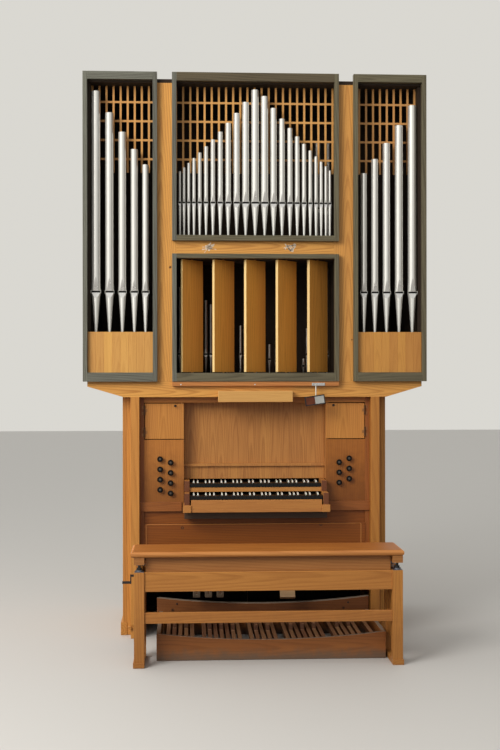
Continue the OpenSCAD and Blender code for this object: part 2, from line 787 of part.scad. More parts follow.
knee_rail_h = 76;
module knee_panel() placed() color("#a56a33") {
    panel_half = face_in - joint;
    board([-face_in + joint, face_y + 10, low_rail_z - knee_rail_h],
          [face_in - joint, face_y + 28, low_rail_z - joint]);
    board([-panel_half, face_y - 4, knee_z], [panel_half, face_y + 14, low_rail_z - knee_rail_h - joint]);
}

// Foot controls over the pedalboard
coupler_x = -350;
coupler_pitch = 69.5;
coupler_z = 241;
coupler_w = 42;
coupler_h = 51;
module coupler_pedals() placed() color("#a87b45")
    for (i = [0 : 2]) translate([coupler_x + i * coupler_pitch, 0, coupler_z]) {
        difference() {
            translate([-coupler_w / 2, 0, 0]) rotate([90, 0, 0])
                linear_extrude(20) rounded(coupler_w, coupler_h, 5);
            translate([-7, -21, coupler_h - 29]) cube([14, 22, 16]);
        }
        board([-8, joint, 6], [8, face_y + 24, 21]);
        board([-8, face_y + 14.2, 21.2], [8, face_y + 32, 89]);
    }

module swell_pedal() placed() color("#d0a468")
    translate([pedal_x, pedal_y, pedal_pin_z]) rotate([-28, 0, 0]) difference() {
        union() {
            translate([-pedal_half, 0, 0]) rotate([90, 0, 90]) linear_extrude(2 * pedal_half)
                polygon([[-6, -98], [-6, 102], [-18, 102], [-22, 96], [-22, -86], [-34, -90], [-34, -98]]);
            translate([-pedal_half, 0, 0]) rotate([0, 90, 0]) cylinder(h = 2 * pedal_half, r = 10);
        }
        translate([-pedal_half - 1, 0, 0]) rotate([0, 90, 0])
            cylinder(h = 2 * pedal_half + 2, r = pedal_pin_r + pin_fit);
    }

// Pedalboard: boards with a curved top edge that dips by the same amount in the middle
function dip_r() = (pow(board_half, 2) + pow(board_dip, 2)) / (2 * board_dip);
function dip_at(x) = dip_r() - sqrt(pow(dip_r(), 2) - x * x) - board_dip;

module curved_rail(y, t, z_low, z_end, out = 0) {
    steps = 16;
    w = board_half;
    translate([board_x, y + t, 0]) rotate([90, 0, 0]) linear_extrude(t)
        polygon([for (i = [0 : steps]) let (x = -w - out + (2 * w + out) * i / steps)
                     [x, z_end + dip_at(x)],
                 for (i = [steps : -1 : 0]) let (x = -w - out + (2 * w + out) * i / steps)
                     [x, z_low < 1 ? 0 : z_low + dip_at(x)]]);
}

cap_y = board_depth - board_front;
cap_top = 226;
cap_h = 84;
cap_out = 12;
cap_t = 24;
front_rail_t = 22;
module pedalboard_frame() placed() color("#a8703a") {
    curved_rail(-board_front, front_rail_t, 0, board_end_h);
    curved_rail(cap_y, cap_t, cap_top - cap_h, cap_top, cap_out);
    for (s = [-1, 1])
        board([board_x + s * board_half, -board_front + front_rail_t + joint, 0],
              [board_x + s * (board_half - front_rail_t), cap_y - joint, board_end_h]);
    curved_rail(cap_y + cap_t + joint, 20, 0, cap_top);
}

pedal_order = [0, 1, 2, 3, 4, 6, 7, 8, 9, 10, 11, 12];
pedal_top_drop = 20;
pedal_sharp_in = 290;
pedal_sharp_len = 150;
pedal_sharp_h = 30;
module pedal_keys() placed() color("#a67a4a") {
    notes = 30;
    half_pitch = pedal_pitch / 2;
    for (n = [0 : notes - 1]) {
        slot = floor(n / 12) * 14 + pedal_order[n % 12];
        x = (slot - 17) * half_pitch;
        sharp = len([for (s = [1, 3, 6, 8, 10]) if (n % 12 == s) s]) > 0;
        z = board_end_h + dip_at(x) - pedal_top_drop;
        board([board_x + x - pedal_w / 2, -board_front + front_rail_t + joint, z - 30],
              [board_x + x + pedal_w / 2, cap_y + cap_t, z]);
        if (sharp)
            translate([board_x + x, cap_y - pedal_sharp_in, z])
                sloped_bar(pedal_w, pedal_sharp_len, pedal_sharp_h, 14);
    }
}

// Bench

jack_r = 8;
jack_depth = 230;
jack_len = 250;
apron_h = 160;
seat_block_h = 38;

// Repeats its children on the axis of each bench post, at floor level
module jack_places()
    for (s = [-1, 1], y = [bench_post / 2, bench_depth - bench_post / 2])
        translate([bench_x + s * (bench_half - bench_post / 2), y - bench_front, 0]) children();

bench_foot_h = 28;
foot_out = 5;
crank_z = bench_post_h - 18;
crank_y = -bench_front + 20;
crank_r = 6;

module bench_ends() placed() color("#bd8342") {
    difference() {
        jack_places() translate([-bench_post / 2, -bench_post / 2, bench_foot_h])
            cube([bench_post, bench_post, bench_post_h - bench_foot_h]);
        jack_places() translate([0, 0, bench_post_h - jack_depth])
            cylinder(h = jack_depth + 1, r = jack_r + pin_fit);
        translate([bench_x - bench_half - 1, crank_y, crank_z]) rotate([0, 90, 0])
            cylinder(h = 17, r = crank_r + pin_fit);
    }
    for (s = [-1, 1]) {
        x0 = bench_x + s * bench_half;
        x1 = x0 - s * bench_post;
        board([x0 - s * 14, -bench_front + bench_post + joint, 120],
              [x1 + s * 14, -bench_front + bench_depth - bench_post - joint, bench_post_h]);
        board([x0 + s * foot_out, -bench_front - foot_out, 0],
              [x1, -bench_front + bench_depth + foot_out, bench_foot_h - joint]);
    }
}

module bench_rails() placed() color("#c48a46") {
    x0 = bench_x - bench_half + bench_post + joint;
    x1 = bench_x + bench_half - bench_post - joint;
    top = bench_post_h - 1;
    for (z = [[bench_low_z, bench_low_z + bench_low_h], [top - bench_rail_h, top]])
        board([x0, -bench_front + 8, z[0]], [x1, -bench_front + 8 + board_t, z[1]]);
    board([x0, -bench_front + bench_depth - 8 - board_t, top - bench_rail_h],
          [x1, -bench_front + bench_depth - 8, top]);
}

// The seat board's outline is rounded along its front and its ends
seat_round = 14;
seat_shift = -6;
seat_back = 3;
function nose(x, out) = let (r = seat_round) [for (k = [0 : 7])
    let (a = k < 4 ? 90 - 30 * k : 120 - 30 * k)
    [x + out * r * (cos(a) - 1), (k < 4 ? seat_t - r : r) + r * sin(a)]];

module bench_seat() placed() color("#c98f4b") {
    half = bench_half + seat_reach;
    depth = bench_depth + seat_nose - seat_back;
    low = seat_z - seat_t;
    translate([bench_x + seat_shift, -seat_front, low]) intersection() {
        rotate([90, 0, 90]) linear_extrude(2 * half, center = true)
            polygon([for (p = nose(0, -1)) p, [depth, 0], [depth, seat_t]]);
        translate([0, depth + 1, 0]) rotate([90, 0, 0]) linear_extrude(depth + 2)
            polygon([for (p = nose(half, 1)) p, for (i = [7 : -1 : 0]) nose(-half, -1)[i]]);
    }
    for (s = [-1, 1]) {
        x0 = bench_x + s * bench_half;
        x1 = x0 - s * bench_post;
        board([x0, -bench_front, low - seat_block_h], [x1, -bench_front + bench_depth, low]);
    }
    jack_places() translate([0, 0, low - jack_len]) cylinder(h = jack_len - 10, r = jack_r);
    for (y = [-bench_front + 35, -bench_front + bench_depth - 55])
        board([bench_x - bench_half + bench_post + 6, y, low - apron_h],
              [bench_x + bench_half - bench_post - 6, y + 20, low]);
}

module bench_crank() placed() color("#19191b")
    translate([bench_x - bench_half, crank_y, crank_z]) {
        translate([-20, 0, 0]) rotate([0, 90, 0]) cylinder(h = 35, r = crank_r);
        translate([-20, -6, -43]) cube([6, 12, 50]);
        translate([-62, 0, -36]) rotate([0, 90, 0]) cylinder(h = 43, r = 7);
    }

// Small doors, hung on pins at their outer edges

module door(s) placed() color("#c08344") mirror([s < 0 ? 1 : 0, 0, 0]) {
    third = hinge_h / 3;
    board([door_x0, face_y, door_low], [door_x1, face_y + face_t, door_top]);
    for (z = hinge_zs()) translate([hinge_x, hinge_y, z + third + 0.3]) difference() {
        union() {
            cylinder(h = third - 0.6, r = hinge_r);
            board([-16, hinge_r - 2, 0], [0, hinge_r, third - 0.6]);
        }
        translate([0, 0, -1]) cylinder(h = third + 2, r = hinge_pin_r + pin_fit);
    }
}

module left_door() door(-1);
module right_door() door(1);

case_front();
fascia_board();
case_sides();
back_panels();
case_roof();
case_floor();
tower_frames();
centre_frame();
swell_frame();
tower_panels();
tower_pipes();
centre_pipes();
pipe_lattices();
toe_boards();
swell_box();
inner_pipes();
ledge_strip();
desk_lamp();
metal_brackets();
front_posts();
console_sides();
console_frame();
stop_jambs();
music_desk();
key_frame();
natural_keys();
sharp_keys();
knee_panel();
pedalboard_frame();
pedal_keys();
coupler_pedals();
bench_ends();
bench_rails();
bench_seat();
bench_crank();
swell_pedal();
left_door();
right_door();
mirror_arm();
mirror_head();
swell_shutter_1();
swell_shutter_2();
swell_shutter_3();
swell_shutter_4();
swell_shutter_5();
stop_knob_1();
stop_knob_2();
stop_knob_3();
stop_knob_4();
stop_knob_5();
stop_knob_6();
stop_knob_7();
stop_knob_8();
stop_knob_9();
stop_knob_10();
stop_knob_11();
stop_knob_12();
stop_knob_13();
stop_knob_14();
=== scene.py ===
import math
import random

import bmesh
import bpy
from mathutils import Matrix, Vector


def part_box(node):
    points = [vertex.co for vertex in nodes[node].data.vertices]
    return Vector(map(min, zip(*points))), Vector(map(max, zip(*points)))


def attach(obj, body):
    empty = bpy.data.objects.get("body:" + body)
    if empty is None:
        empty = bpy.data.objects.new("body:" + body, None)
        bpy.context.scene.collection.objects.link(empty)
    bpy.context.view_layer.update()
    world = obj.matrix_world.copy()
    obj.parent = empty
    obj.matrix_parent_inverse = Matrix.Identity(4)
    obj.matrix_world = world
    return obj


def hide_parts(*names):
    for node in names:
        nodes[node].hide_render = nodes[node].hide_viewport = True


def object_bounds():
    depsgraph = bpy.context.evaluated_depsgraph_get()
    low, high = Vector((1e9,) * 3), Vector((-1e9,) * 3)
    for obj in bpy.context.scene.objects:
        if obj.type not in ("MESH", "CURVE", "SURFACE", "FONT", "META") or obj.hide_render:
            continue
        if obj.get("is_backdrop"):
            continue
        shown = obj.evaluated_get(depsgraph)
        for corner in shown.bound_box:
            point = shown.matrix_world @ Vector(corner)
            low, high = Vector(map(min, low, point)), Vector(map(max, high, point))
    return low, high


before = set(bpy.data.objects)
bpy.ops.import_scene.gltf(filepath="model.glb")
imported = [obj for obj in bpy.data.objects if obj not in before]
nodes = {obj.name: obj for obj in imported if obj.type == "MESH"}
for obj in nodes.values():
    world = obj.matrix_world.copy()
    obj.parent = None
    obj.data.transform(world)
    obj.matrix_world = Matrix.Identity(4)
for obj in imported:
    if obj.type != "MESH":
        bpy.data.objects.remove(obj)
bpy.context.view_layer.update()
bpy.ops.object.select_all(action="DESELECT")
scene = bpy.context.scene
scene.view_settings.view_transform = "Standard"

# Camera: a lens of about 57 mm on a 36 mm frame, 7 m before the console, a little left of its
# middle and 1.55 m above the floor, turned slightly to the right.
camera_data = bpy.data.cameras.new("camera")
camera_data.sensor_width = 36
camera_data.lens = 56.93
camera = bpy.data.objects.new("camera", camera_data)
scene.collection.objects.link(camera)
camera.location = (-0.405, -7.1405, 1.55)
camera.rotation_euler = (math.pi / 2, 0.001, -0.053)
scene.camera = camera

# Room: a wide soft window at the upper left, a weak one at the right, a pale wall and a pale
# floor. Glossy pieces mirror a hall of lighter and darker upright bands, lit from above.


def soft_lamp(name, place, target, size, power, colour):
    data = bpy.data.lights.new(name, "AREA")
    data.shape = "RECTANGLE"
    data.size, data.size_y = size
    data.energy = power
    data.color = colour
    made = bpy.data.objects.new(name, data)
    scene.collection.objects.link(made)
    made.location = place
    made.visible_glossy = False
    made.rotation_euler = (Vector(target) - Vector(place)).to_track_quat("-Z", "Y").to_euler()


soft_lamp("window", (-4.3, -5.0, 4.4), (0, 0, 1.9), (3.2, 3.2), 355, (1.0, 0.985, 0.955))
soft_lamp("far_window", (4.2, -5.6, 3.4), (0.2, 0, 1.8), (2.6, 2.6), 8, (0.98, 0.985, 1.0))


def new_material(name):
    made = bpy.data.materials.new(name)
    made.use_nodes = True
    tree = made.node_tree
    return made, tree, tree.nodes["Principled BSDF"]


def add(tree, kind, **values):
    made = tree.nodes.new(kind)
    for key, value in values.items():
        setattr(made, key, value)
    return made


def put(tree, socket, value):
    if isinstance(value, bpy.types.NodeSocket):
        tree.links.new(value, socket)
    elif value is not None:
        socket.default_value = value


def calc(tree, operation, a, b=None, c=None, clamp=False):
    made = add(tree, "ShaderNodeMath", operation=operation, use_clamp=clamp)
    for socket, value in zip(made.inputs, (a, b, c)):
        put(tree, socket, value)
    return made.outputs[0]


def plus(tree, a, b, clamp=False):
    return calc(tree, "ADD", a, b, clamp=clamp)


def times(tree, a, b):
    return calc(tree, "MULTIPLY", a, b)


def blend_colour(tree, amount, a, b, mode="MIX"):
    made = add(tree, "ShaderNodeMix", data_type="RGBA", blend_type=mode, clamp_factor=True)
    put(tree, made.inputs[0], amount)
    put(tree, made.inputs[6], (*a, 1) if isinstance(a, tuple) else a)
    put(tree, made.inputs[7], (*b, 1) if isinstance(b, tuple) else b)
    return made.outputs[2]


def map_range(tree, value, low, high, at_low, at_high, kind="LINEAR"):
    made = add(tree, "ShaderNodeMapRange", interpolation_type=kind)
    for socket, number in zip(made.inputs, (value, low, high, at_low, at_high)):
        put(tree, socket, number)
    return made.outputs["Result"]


def axes(tree, vector):
    made = add(tree, "ShaderNodeSeparateXYZ")
    put(tree, made.inputs[0], vector)
    return made.outputs


def colour_ramp(tree, value, end_grey, stops):
    """A ramp from one grey back to it, with a colour at each place between."""
    made = add(tree, "ShaderNodeValToRGB")
    put(tree, made.inputs[0], value)
    for place, end in zip((0.0, 1.0), made.color_ramp.elements):
        end.position, end.color = place, (*end_grey, 1)
    for place, colour in stops:
        made.color_ramp.elements.new(place).color = (*colour, 1)
    return made.outputs["Color"]


world = bpy.data.worlds.new("hall")
scene.world = world
world.use_nodes = True
tree = world.node_tree
wall_paint = (0.70, 0.685, 0.64)
daylight, dim_hall = (1.0, 0.99, 0.955), (0.20, 0.19, 0.175)
sideways, outward, upward = axes(tree, add(tree, "ShaderNodeTexCoord").outputs["Generated"])
falling = blend_colour(tree, map_range(tree, sideways, -0.35, 0.75, 0, 1), daylight, dim_hall)
bearing = calc(tree, "ARCTAN2", sideways, times(tree, outward, -1.0))
hall_bands = ((-100, 0.72), (-78, 0.60), (-66, 1.6), (-20, 1.6), (-4, 0.80), (36, 0.62),
              (52, 0.22), (112, 0.18), (130, 0.55))
bands = colour_ramp(tree, plus(tree, calc(tree, "DIVIDE", bearing, 2 * math.pi), 0.5),
                    (0.50, 0.50, 0.48), [(degrees / 360 + 0.5, (grey, grey * 0.985, grey * 0.94))
                                         for degrees, grey in hall_bands])
from_above = map_range(tree, upward, -0.25, 0.30, 0.35, 1.15)
mirrored = blend_colour(tree, 1.0, bands, from_above, "MULTIPLY")
ray = add(tree, "ShaderNodeLightPath").outputs
lit = blend_colour(tree, ray["Is Glossy Ray"], falling, mirrored)
background = tree.nodes["Background"]
put(tree, background.inputs["Color"], blend_colour(tree, ray["Is Camera Ray"], lit, wall_paint))
background.inputs["Strength"].default_value = 1.0

bpy.ops.mesh.primitive_plane_add(size=40, location=(0, 6, -0.001))
floor = bpy.context.object
floor.name = "floor"
bpy.ops.object.transform_apply()
stone, tree, shader = new_material("stone_floor")
ray = add(tree, "ShaderNodeLightPath").outputs
seen = calc(tree, "MAXIMUM", ray["Is Camera Ray"], ray["Is Transmission Ray"])
seen = calc(tree, "MAXIMUM", seen, ray["Is Glossy Ray"])
put(tree, shader.inputs["Base Color"],
    blend_colour(tree, seen, (0.13, 0.105, 0.09), (0.60, 0.585, 0.56)))
shader.inputs["Roughness"].default_value = 0.7
floor.data.materials.append(stone)
floor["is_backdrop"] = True

# Case front: two broad stiles and the rails between them, of planed and varnished pine, glued
# up and pinned. Flat-sawn boards show tall pointed arches of grain and a few small knots.
FRONT = -0.1405


def noise_at(tree, place, scale, detail=3, roughness=0.5, stretch=None):
    """Noise at a place, or at the piece's own coordinates where the place is None."""
    if place is None:
        place = add(tree, "ShaderNodeTexCoord").outputs["Object"]
    if stretch:
        turned = add(tree, "ShaderNodeVectorMath", operation="MULTIPLY")
        put(tree, turned.inputs[0], place)
        put(tree, turned.inputs[1], stretch)
        place = turned.outputs[0]
    made = add(tree, "ShaderNodeTexNoise")
    put(tree, made.inputs["Vector"], place)
    made.inputs["Scale"].default_value = scale
    made.inputs["Detail"].default_value = detail
    made.inputs["Roughness"].default_value = roughness
    return made.outputs["Fac"]


def bump(tree, shader, height, distance, strength=1.0):
    made = add(tree, "ShaderNodeBump")
    put(tree, made.inputs["Height"], height)
    made.inputs["Distance"].default_value = distance
    made.inputs["Strength"].default_value = strength
    tree.links.new(made.outputs["Normal"], shader.inputs["Normal"])


def swing(tree, value, factor):
    """A noise's departure from its middle, times a factor."""
    return times(tree, calc(tree, "SUBTRACT", value, 0.5), factor)


def near_spot(tree, spot, radius, soft):
    """1 at a place on the piece, falling to 0 at the radius, with an uneven border."""
    here = add(tree, "ShaderNodeTexCoord").outputs["Object"]
    apart = add(tree, "ShaderNodeVectorMath", operation="DISTANCE")
    put(tree, apart.inputs[0], here)
    apart.inputs[1].default_value = spot
    ragged = calc(tree, "MULTIPLY_ADD", noise_at(tree, here, 160.0, 2), radius * 0.9,
                  apart.outputs["Value"])
    return map_range(tree, ragged, radius * (1.45 - soft), radius * 1.45, 1.0, 0.0, "SMOOTHSTEP")


def wood(name, light, dark, ring=0.007, depth=0.5, stave=0.0, taper=0.035, tone=0.16,
         rough=0.45, worn=0.35, coat=0.04, fibre_depth=0.5, streaks=0.5, marks=(), grime_and_shade=None):
    """Yearly rings cut by each board as nested arches, with fibre, its own tone and worn edges.

    It reads each board's lengthwise place from the attributes that lay_grain writes. Marks are
    (place, radius, softness, colour). The last is (low height, high height, colour, amount): a
    colour laid on towards the bottom, real dirt on some pieces and painted shade on others.
    """
    made, tree, shader = new_material(name)
    grain, board, edge = (add(tree, "ShaderNodeAttribute", attribute_name=key).outputs
                          for key in ("grain", "board", "edge"))
    along, across, deep = axes(tree, grain["Vector"])
    seed = times(tree, board["Fac"], 97.0)
    if stave:
        step = calc(tree, "FLOOR", plus(tree, calc(tree, "DIVIDE", across, stave), 0.5))
        across = calc(tree, "SUBTRACT", across, times(tree, step, stave))
        seed = plus(tree, seed, times(tree, step, 7.31))
    chance = add(tree, "ShaderNodeTexWhiteNoise", noise_dimensions="1D")
    put(tree, chance.inputs["W"], seed)
    chances = add(tree, "ShaderNodeSeparateColor")
    put(tree, chances.inputs[0], chance.outputs["Color"])
    one, two, three = chances.outputs
    along = plus(tree, along, times(tree, one, 9.0))
    shifted = plus(tree, across, swing(tree, two, 0.07))
    pith = plus(tree, plus(tree, times(tree, three, 0.04), 0.012), deep)
    place = add(tree, "ShaderNodeCombineXYZ")
    for socket, value in zip(place.inputs, (along, across, deep)):
        put(tree, socket, value)
    place = place.outputs[0]
    waves = noise_at(tree, place, 1.0, 2, 0.5, (1.6, 9.0, 9.0))
    radius = calc(tree, "SQRT", plus(tree, times(tree, shifted, shifted), times(tree, pith, pith)))
    radius = plus(tree, radius, times(tree, along, taper))
    radius = plus(tree, radius, times(tree, waves, 0.03))
    late = colour_ramp(tree, calc(tree, "FRACT", calc(tree, "DIVIDE", radius, ring)), (0.1,) * 3,
                       ((0.45, (0.25,) * 3), (0.78, (0.95,) * 3), (0.88, (0.85,) * 3)))
    fibre = noise_at(tree, place, 1.0, 4, 0.65, (7.0, 420.0, 420.0))
    cloud = noise_at(tree, place, 1.0, 2, 0.5, (1.1, 7.0, 7.0))
    amount = plus(tree, times(tree, late, depth), swing(tree, fibre, fibre_depth))
    streak = noise_at(tree, place, 1.0, 3, 0.65, (2.4, 75.0, 75.0))
    amount = plus(tree, amount, swing(tree, streak, streaks * 2), clamp=True)
    colour = blend_colour(tree, amount, light, dark)
    level = plus(tree, swing(tree, one, tone), swing(tree, cloud, 0.24))
    shade = add(tree, "ShaderNodeHueSaturation")
    put(tree, shade.inputs["Value"], plus(tree, level, 1.0))
    put(tree, shade.inputs["Hue"], plus(tree, 0.5, times(tree, level, 0.035)))
    put(tree, shade.inputs["Color"], colour)
    wear = times(tree, edge["Fac"], times(tree, noise_at(tree, place, 14.0, 3), worn * 1.7))
    pale = tuple(min(1.0, c * 1.5 + 0.02) for c in light)
    colour = blend_colour(tree, wear, shade.outputs["Color"], pale)
    for spot, size, soft, tint in marks:
        colour = blend_colour(tree, near_spot(tree, spot, size, soft), colour, tint)
    # A colour laid on towards the bottom: dirt on some pieces, painted shade on others.
    if grime_and_shade:
        low, high, downward_tint, share = grime_and_shade
        here = add(tree, "ShaderNodeTexCoord").outputs["Object"]
        ragged_height = calc(tree, "SUBTRACT", noise_at(tree, here, 22.0, 4, 0.6), 0.5)
        height = calc(tree, "MULTIPLY_ADD", ragged_height, high - low, axes(tree, here)["Z"])
        colour = blend_colour(tree, map_range(tree, height, low, high, share, 0.0, "SMOOTHSTEP"),
                              colour, downward_tint)
    tree.links.new(colour, shader.inputs["Base Color"])
    put(tree, shader.inputs["Roughness"], plus(tree, rough, swing(tree, fibre, 0.16)))
    shader.inputs["Specular IOR Level"].default_value = 0.32
    shader.inputs["Coat Weight"].default_value = coat
    shader.inputs["Coat Roughness"].default_value = 0.3
    bump(tree, shader, plus(tree, times(tree, fibre, 0.6), times(tree, late, 0.4)), 0.0004, 0.5)
    return made


def only(obj):
    for other in bpy.context.selected_objects:
        other.select_set(False)
    obj.select_set(True)
    bpy.context.view_layer.objects.active = obj


def start_edit(obj, action="SELECT"):
    only(obj)
    bpy.ops.object.mode_set(mode="EDIT")
    bpy.ops.mesh.select_all(action=action)


def end_edit():
    bpy.ops.object.mode_set(mode="OBJECT")


def merged_copy(name, node):
    """A copy of a node's mesh with its doubles merged and its flat faces whole."""
    made = bpy.data.objects.new(name, nodes[node].data.copy())
    scene.collection.objects.link(made)
    made.data.materials.clear()
    start_edit(made)
    bpy.ops.mesh.remove_doubles(threshold=0.00002)
    bpy.ops.mesh.dissolve_limited(angle_limit=math.radians(0.6))
    end_edit()
    return made


def apply_modifier(obj, kind, **values):
    only(obj)
    added = obj.modifiers.new(kind.lower(), kind)
    for key, value in values.items():
        setattr(added, key, value)
    bpy.ops.object.modifier_apply(modifier=added.name)


def islands(mesh):
    """Lists the vertices of each separate board or part of a mesh."""
    work = bmesh.new()
    work.from_mesh(mesh)
    seen, groups = set(), []
    for start in work.verts:
        if start.index in seen:
            continue
        stack, group = [start], []
        seen.add(start.index)
        while stack:
            vert = stack.pop()
            group.append(vert.index)
            for link in vert.link_edges:
                other = link.other_vert(vert)
                if other.index not in seen:
                    seen.add(other.index)
                    stack.append(other)
        groups.append(group)
    work.free()
    return groups


def extent(points):
    low = Vector([min(p[k] for p in points) for k in range(3)])
    high = Vector([max(p[k] for p in points) for k in range(3)])
    return low, high


board_count = 0


def lay_grain(obj, axis=None):
    """Writes each board's own coordinates: along, across and through it, in metres."""
    global board_count
    mesh = obj.data
    mesh.attributes.new("grain", "FLOAT_VECTOR", "POINT")
    mesh.attributes.new("board", "FLOAT", "POINT")
    mesh.attributes.new("edge", "FLOAT", "FACE")
    grain, board, edge = (mesh.attributes[key] for key in ("grain", "board", "edge"))
    for group in islands(mesh):
        board_count += 1
        low, high = extent([mesh.vertices[i].co for i in group])
        order = sorted(range(3), key=lambda k: low[k] - high[k])
        if axis is not None:
            order = [axis] + [k for k in order if k != axis]
        value = (board_count * 0.6180339) % 1.0
        for i in group:
            spot = mesh.vertices[i].co
            grain.data[i].vector = [spot[k] - (low[k] + high[k]) / 2 for k in order]
            board.data[i].value = value
    for face in mesh.polygons:
        flat = max(abs(c) for c in face.normal)
        edge.data[face.index].value = 1.0 if flat < 0.985 and face.area < 0.01 else 0.0


def fasten(obj, body, node):
    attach(obj, body)
    if node:
        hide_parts(*([node] if isinstance(node, str) else node))


def joinery(name, node, material, round_edge=0.0012, axis=None, others=(), body="organ"):
    """The node's boards with rounded edges; others lists materials and the faces they cover."""
    made = merged_copy(name, node)
    if round_edge:
        apply_modifier(made, "BEVEL", width=round_edge, segments=2, limit_method="ANGLE",
                       angle_limit=math.radians(35), use_clamp_overlap=True)
        only(made)
        bpy.ops.object.shade_smooth_by_angle(angle=math.radians(50))
        apply_modifier(made, "WEIGHTED_NORMAL", keep_sharp=True, weight=90)
    lay_grain(made, axis)
    made.data.materials.append(material)
    for number, (other, covers) in enumerate(others, 1):
        made.data.materials.append(other)
        for face in made.data.polygons:
            if covers(face):
                face.material_index = number
    fasten(made, body, node)
    return made


pine = wood("varnished_pine", (0.74, 0.365, 0.088), (0.36, 0.130, 0.022), ring=0.0115, depth=0.6,
            taper=0.055, streaks=0.3,
            marks=(((-0.5032, FRONT, 2.186), 0.010, 0.5, (0.12, 0.045, 0.012)),
                   ((0.5726, FRONT, 1.7584), 0.006, 0.6, (0.16, 0.06, 0.015))))
# Near-black painted shade for the faces inside the case and its openings, where little light falls.
dark = wood("case_inside_painted_shade", (0.030, 0.019, 0.012), (0.017, 0.011, 0.008), depth=0.4,
            rough=0.75, coat=0.0, worn=0.1)
# Back faces, the far ends and the faces across the openings get the near-black painted shade.
joinery("case_stiles", "case_front", pine,
        others=[(dark, lambda face: face.normal.y > 0.7 or abs(face.center.x) > 0.9
                 or abs(face.normal.y) < 0.3)])

# Fascia board under the case front: one broad board of the same varnished pine, its ends sawn
# on a slant where the upper case steps out over the console.
joinery("fascia", "fascia_board", pine)

# Case sides, back, roof and floor: staved pine panels, varnished outside; inside, where only a
# little light falls, they get a near-black painted shade.
pine_plain = wood("staved_pine", (0.56, 0.255, 0.058), (0.33, 0.120, 0.022), ring=0.013, depth=0.6,
                  stave=0.115)
joinery("case_side_boards", "case_sides", pine_plain,
        others=[(dark, lambda face: face.normal.x * face.center.x < 0 and abs(face.normal.x) > 0.7
                 or face.normal.y < -0.7)])
joinery("case_back", "back_panels", pine_plain,
        others=[(dark, lambda face: face.normal.y < -0.7)])
joinery("case_top", "case_roof", pine_plain,
        others=[(dark, lambda face: face.normal.z < -0.7 or face.normal.y < -0.7)])
joinery("case_bottom", "case_floor", pine_plain,
        others=[(dark, lambda face: face.normal.z > 0.7)])

# Frames around the pipe fields and the swell: planed ash, butted at the corners, its grey-green
# stain rubbed thin along the grain. At the left the bars get a lighter, bluer copy, painted light
# from the window there; the top rails of the centre a darker, browner one, painted shade.
ash = dict(ring=0.012, depth=0.6, tone=0.3, rough=0.5, worn=0.3, coat=0.0, fibre_depth=0.9,
           streaks=0.8)
green = wood("grey_stained_ash", (0.138, 0.119, 0.072), (0.048, 0.038, 0.022), **ash)
window_lit_bluish = wood("window_lit_bluish_ash", (0.152, 0.152, 0.122), (0.055, 0.048, 0.036), **ash)
shaded_brownish = wood("shaded_brownish_ash", (0.104, 0.080, 0.047), (0.032, 0.024, 0.014), **ash)
# Painted light on the frames at the left, painted shade on the top rails of the centre.
stain_and_light_copies = [(window_lit_bluish, lambda face: face.center.x < -0.3),
          (shaded_brownish, lambda face: abs(face.center.x) < 0.3 and face.center.z > 3.1)]
for name, node in (("tower_frame_bars", "tower_frames"), ("centre_frame_bars", "centre_frame"),
                   ("swell_frame_bars", "swell_frame")):
    joinery(name, node, green, others=stain_and_light_copies)


# Faces at the right, which get darker copies of their wood as painted shade, the light falling from
# the left.
def at_right(face):
    return face.center.x > 0


# Panels at the feet of the towers: upright strips of pale spruce, glued edge to edge and set
# between the frame's posts; those of the right tower get a darker copy, painted shade.
glued = dict(ring=0.007, depth=0.35, stave=0.078, tone=0.2, worn=0.2)
spruce = wood("pale_spruce_strips", (0.64, 0.335, 0.092), (0.44, 0.19, 0.042), **glued)
shaded_spruce = wood("shaded_spruce_strips", (0.55, 0.255, 0.060), (0.37, 0.145, 0.027), **glued)
joinery("tower_foot_panels", "tower_panels", spruce, axis=2,
        others=[(shaded_spruce, at_right)])

# Facade pipes: rolled sheets of polished tin with a soldered cone for a foot. The upper lip is
# pressed flat as a tall arch, painted darker as shade, the lower lip as a point, with a narrow
# mouth and two ears; the mouth and the bore are near-black with painted shade.
# In the pattern the body's radius, the foot and the lip are each 1. A real lip is LIP_RADII high,
# and the last two values are in metres.
TOE, FLAT, MOUTH, LIP, BORE = 0.16, 0.20, 0.12, 1.0, 0.93
LIP_RADII, MOUTH_HEIGHT, TOE_RADIUS = 3.4, 0.0105, 0.0055


def turned(name, profile, sides):
    """A solid of revolution about Z: every ring (radius, height) is drawn out of the last."""
    radius, height = profile[0]
    bpy.ops.mesh.primitive_circle_add(vertices=sides, radius=radius, fill_type="NGON",
                                      location=(0, 0, height))
    made = bpy.context.object
    made.name = name
    bpy.ops.object.transform_apply(location=True, rotation=False, scale=False)
    start_edit(made)
    for wide, high in profile[1:]:
        bpy.ops.mesh.extrude_region_move(TRANSFORM_OT_translate={"value": (0, 0, high - height)})
        bpy.ops.transform.resize(value=(wide / radius, wide / radius, 1),
                                 center_override=(0, 0, high))
        radius, height = wide, high
    bpy.ops.mesh.select_all(action="SELECT")
    bpy.ops.mesh.normals_make_consistent(inside=False)
    end_edit()
    return made


def cut_away(obj, spot, outward):
    """Cuts off what lies beyond a plane and closes the cut."""
    start_edit(obj)
    bpy.ops.mesh.bisect(plane_co=spot, plane_no=outward, use_fill=True, clear_outer=True)
    end_edit()


def block(name, low, high, round_edge=0.0, segments=2):
    """A box between two corners, its edges rounded in edit mode."""
    bpy.ops.mesh.primitive_cube_add(size=1, location=[(a + b) / 2 for a, b in zip(low, high)],
                                    scale=[b - a for a, b in zip(low, high)])
    made = bpy.context.object
    made.name = name
    bpy.ops.object.transform_apply()
    if round_edge:
        start_edit(made)
        bpy.ops.mesh.bevel(offset=round_edge, segments=segments, affect="EDGES")
        end_edit()
    return made


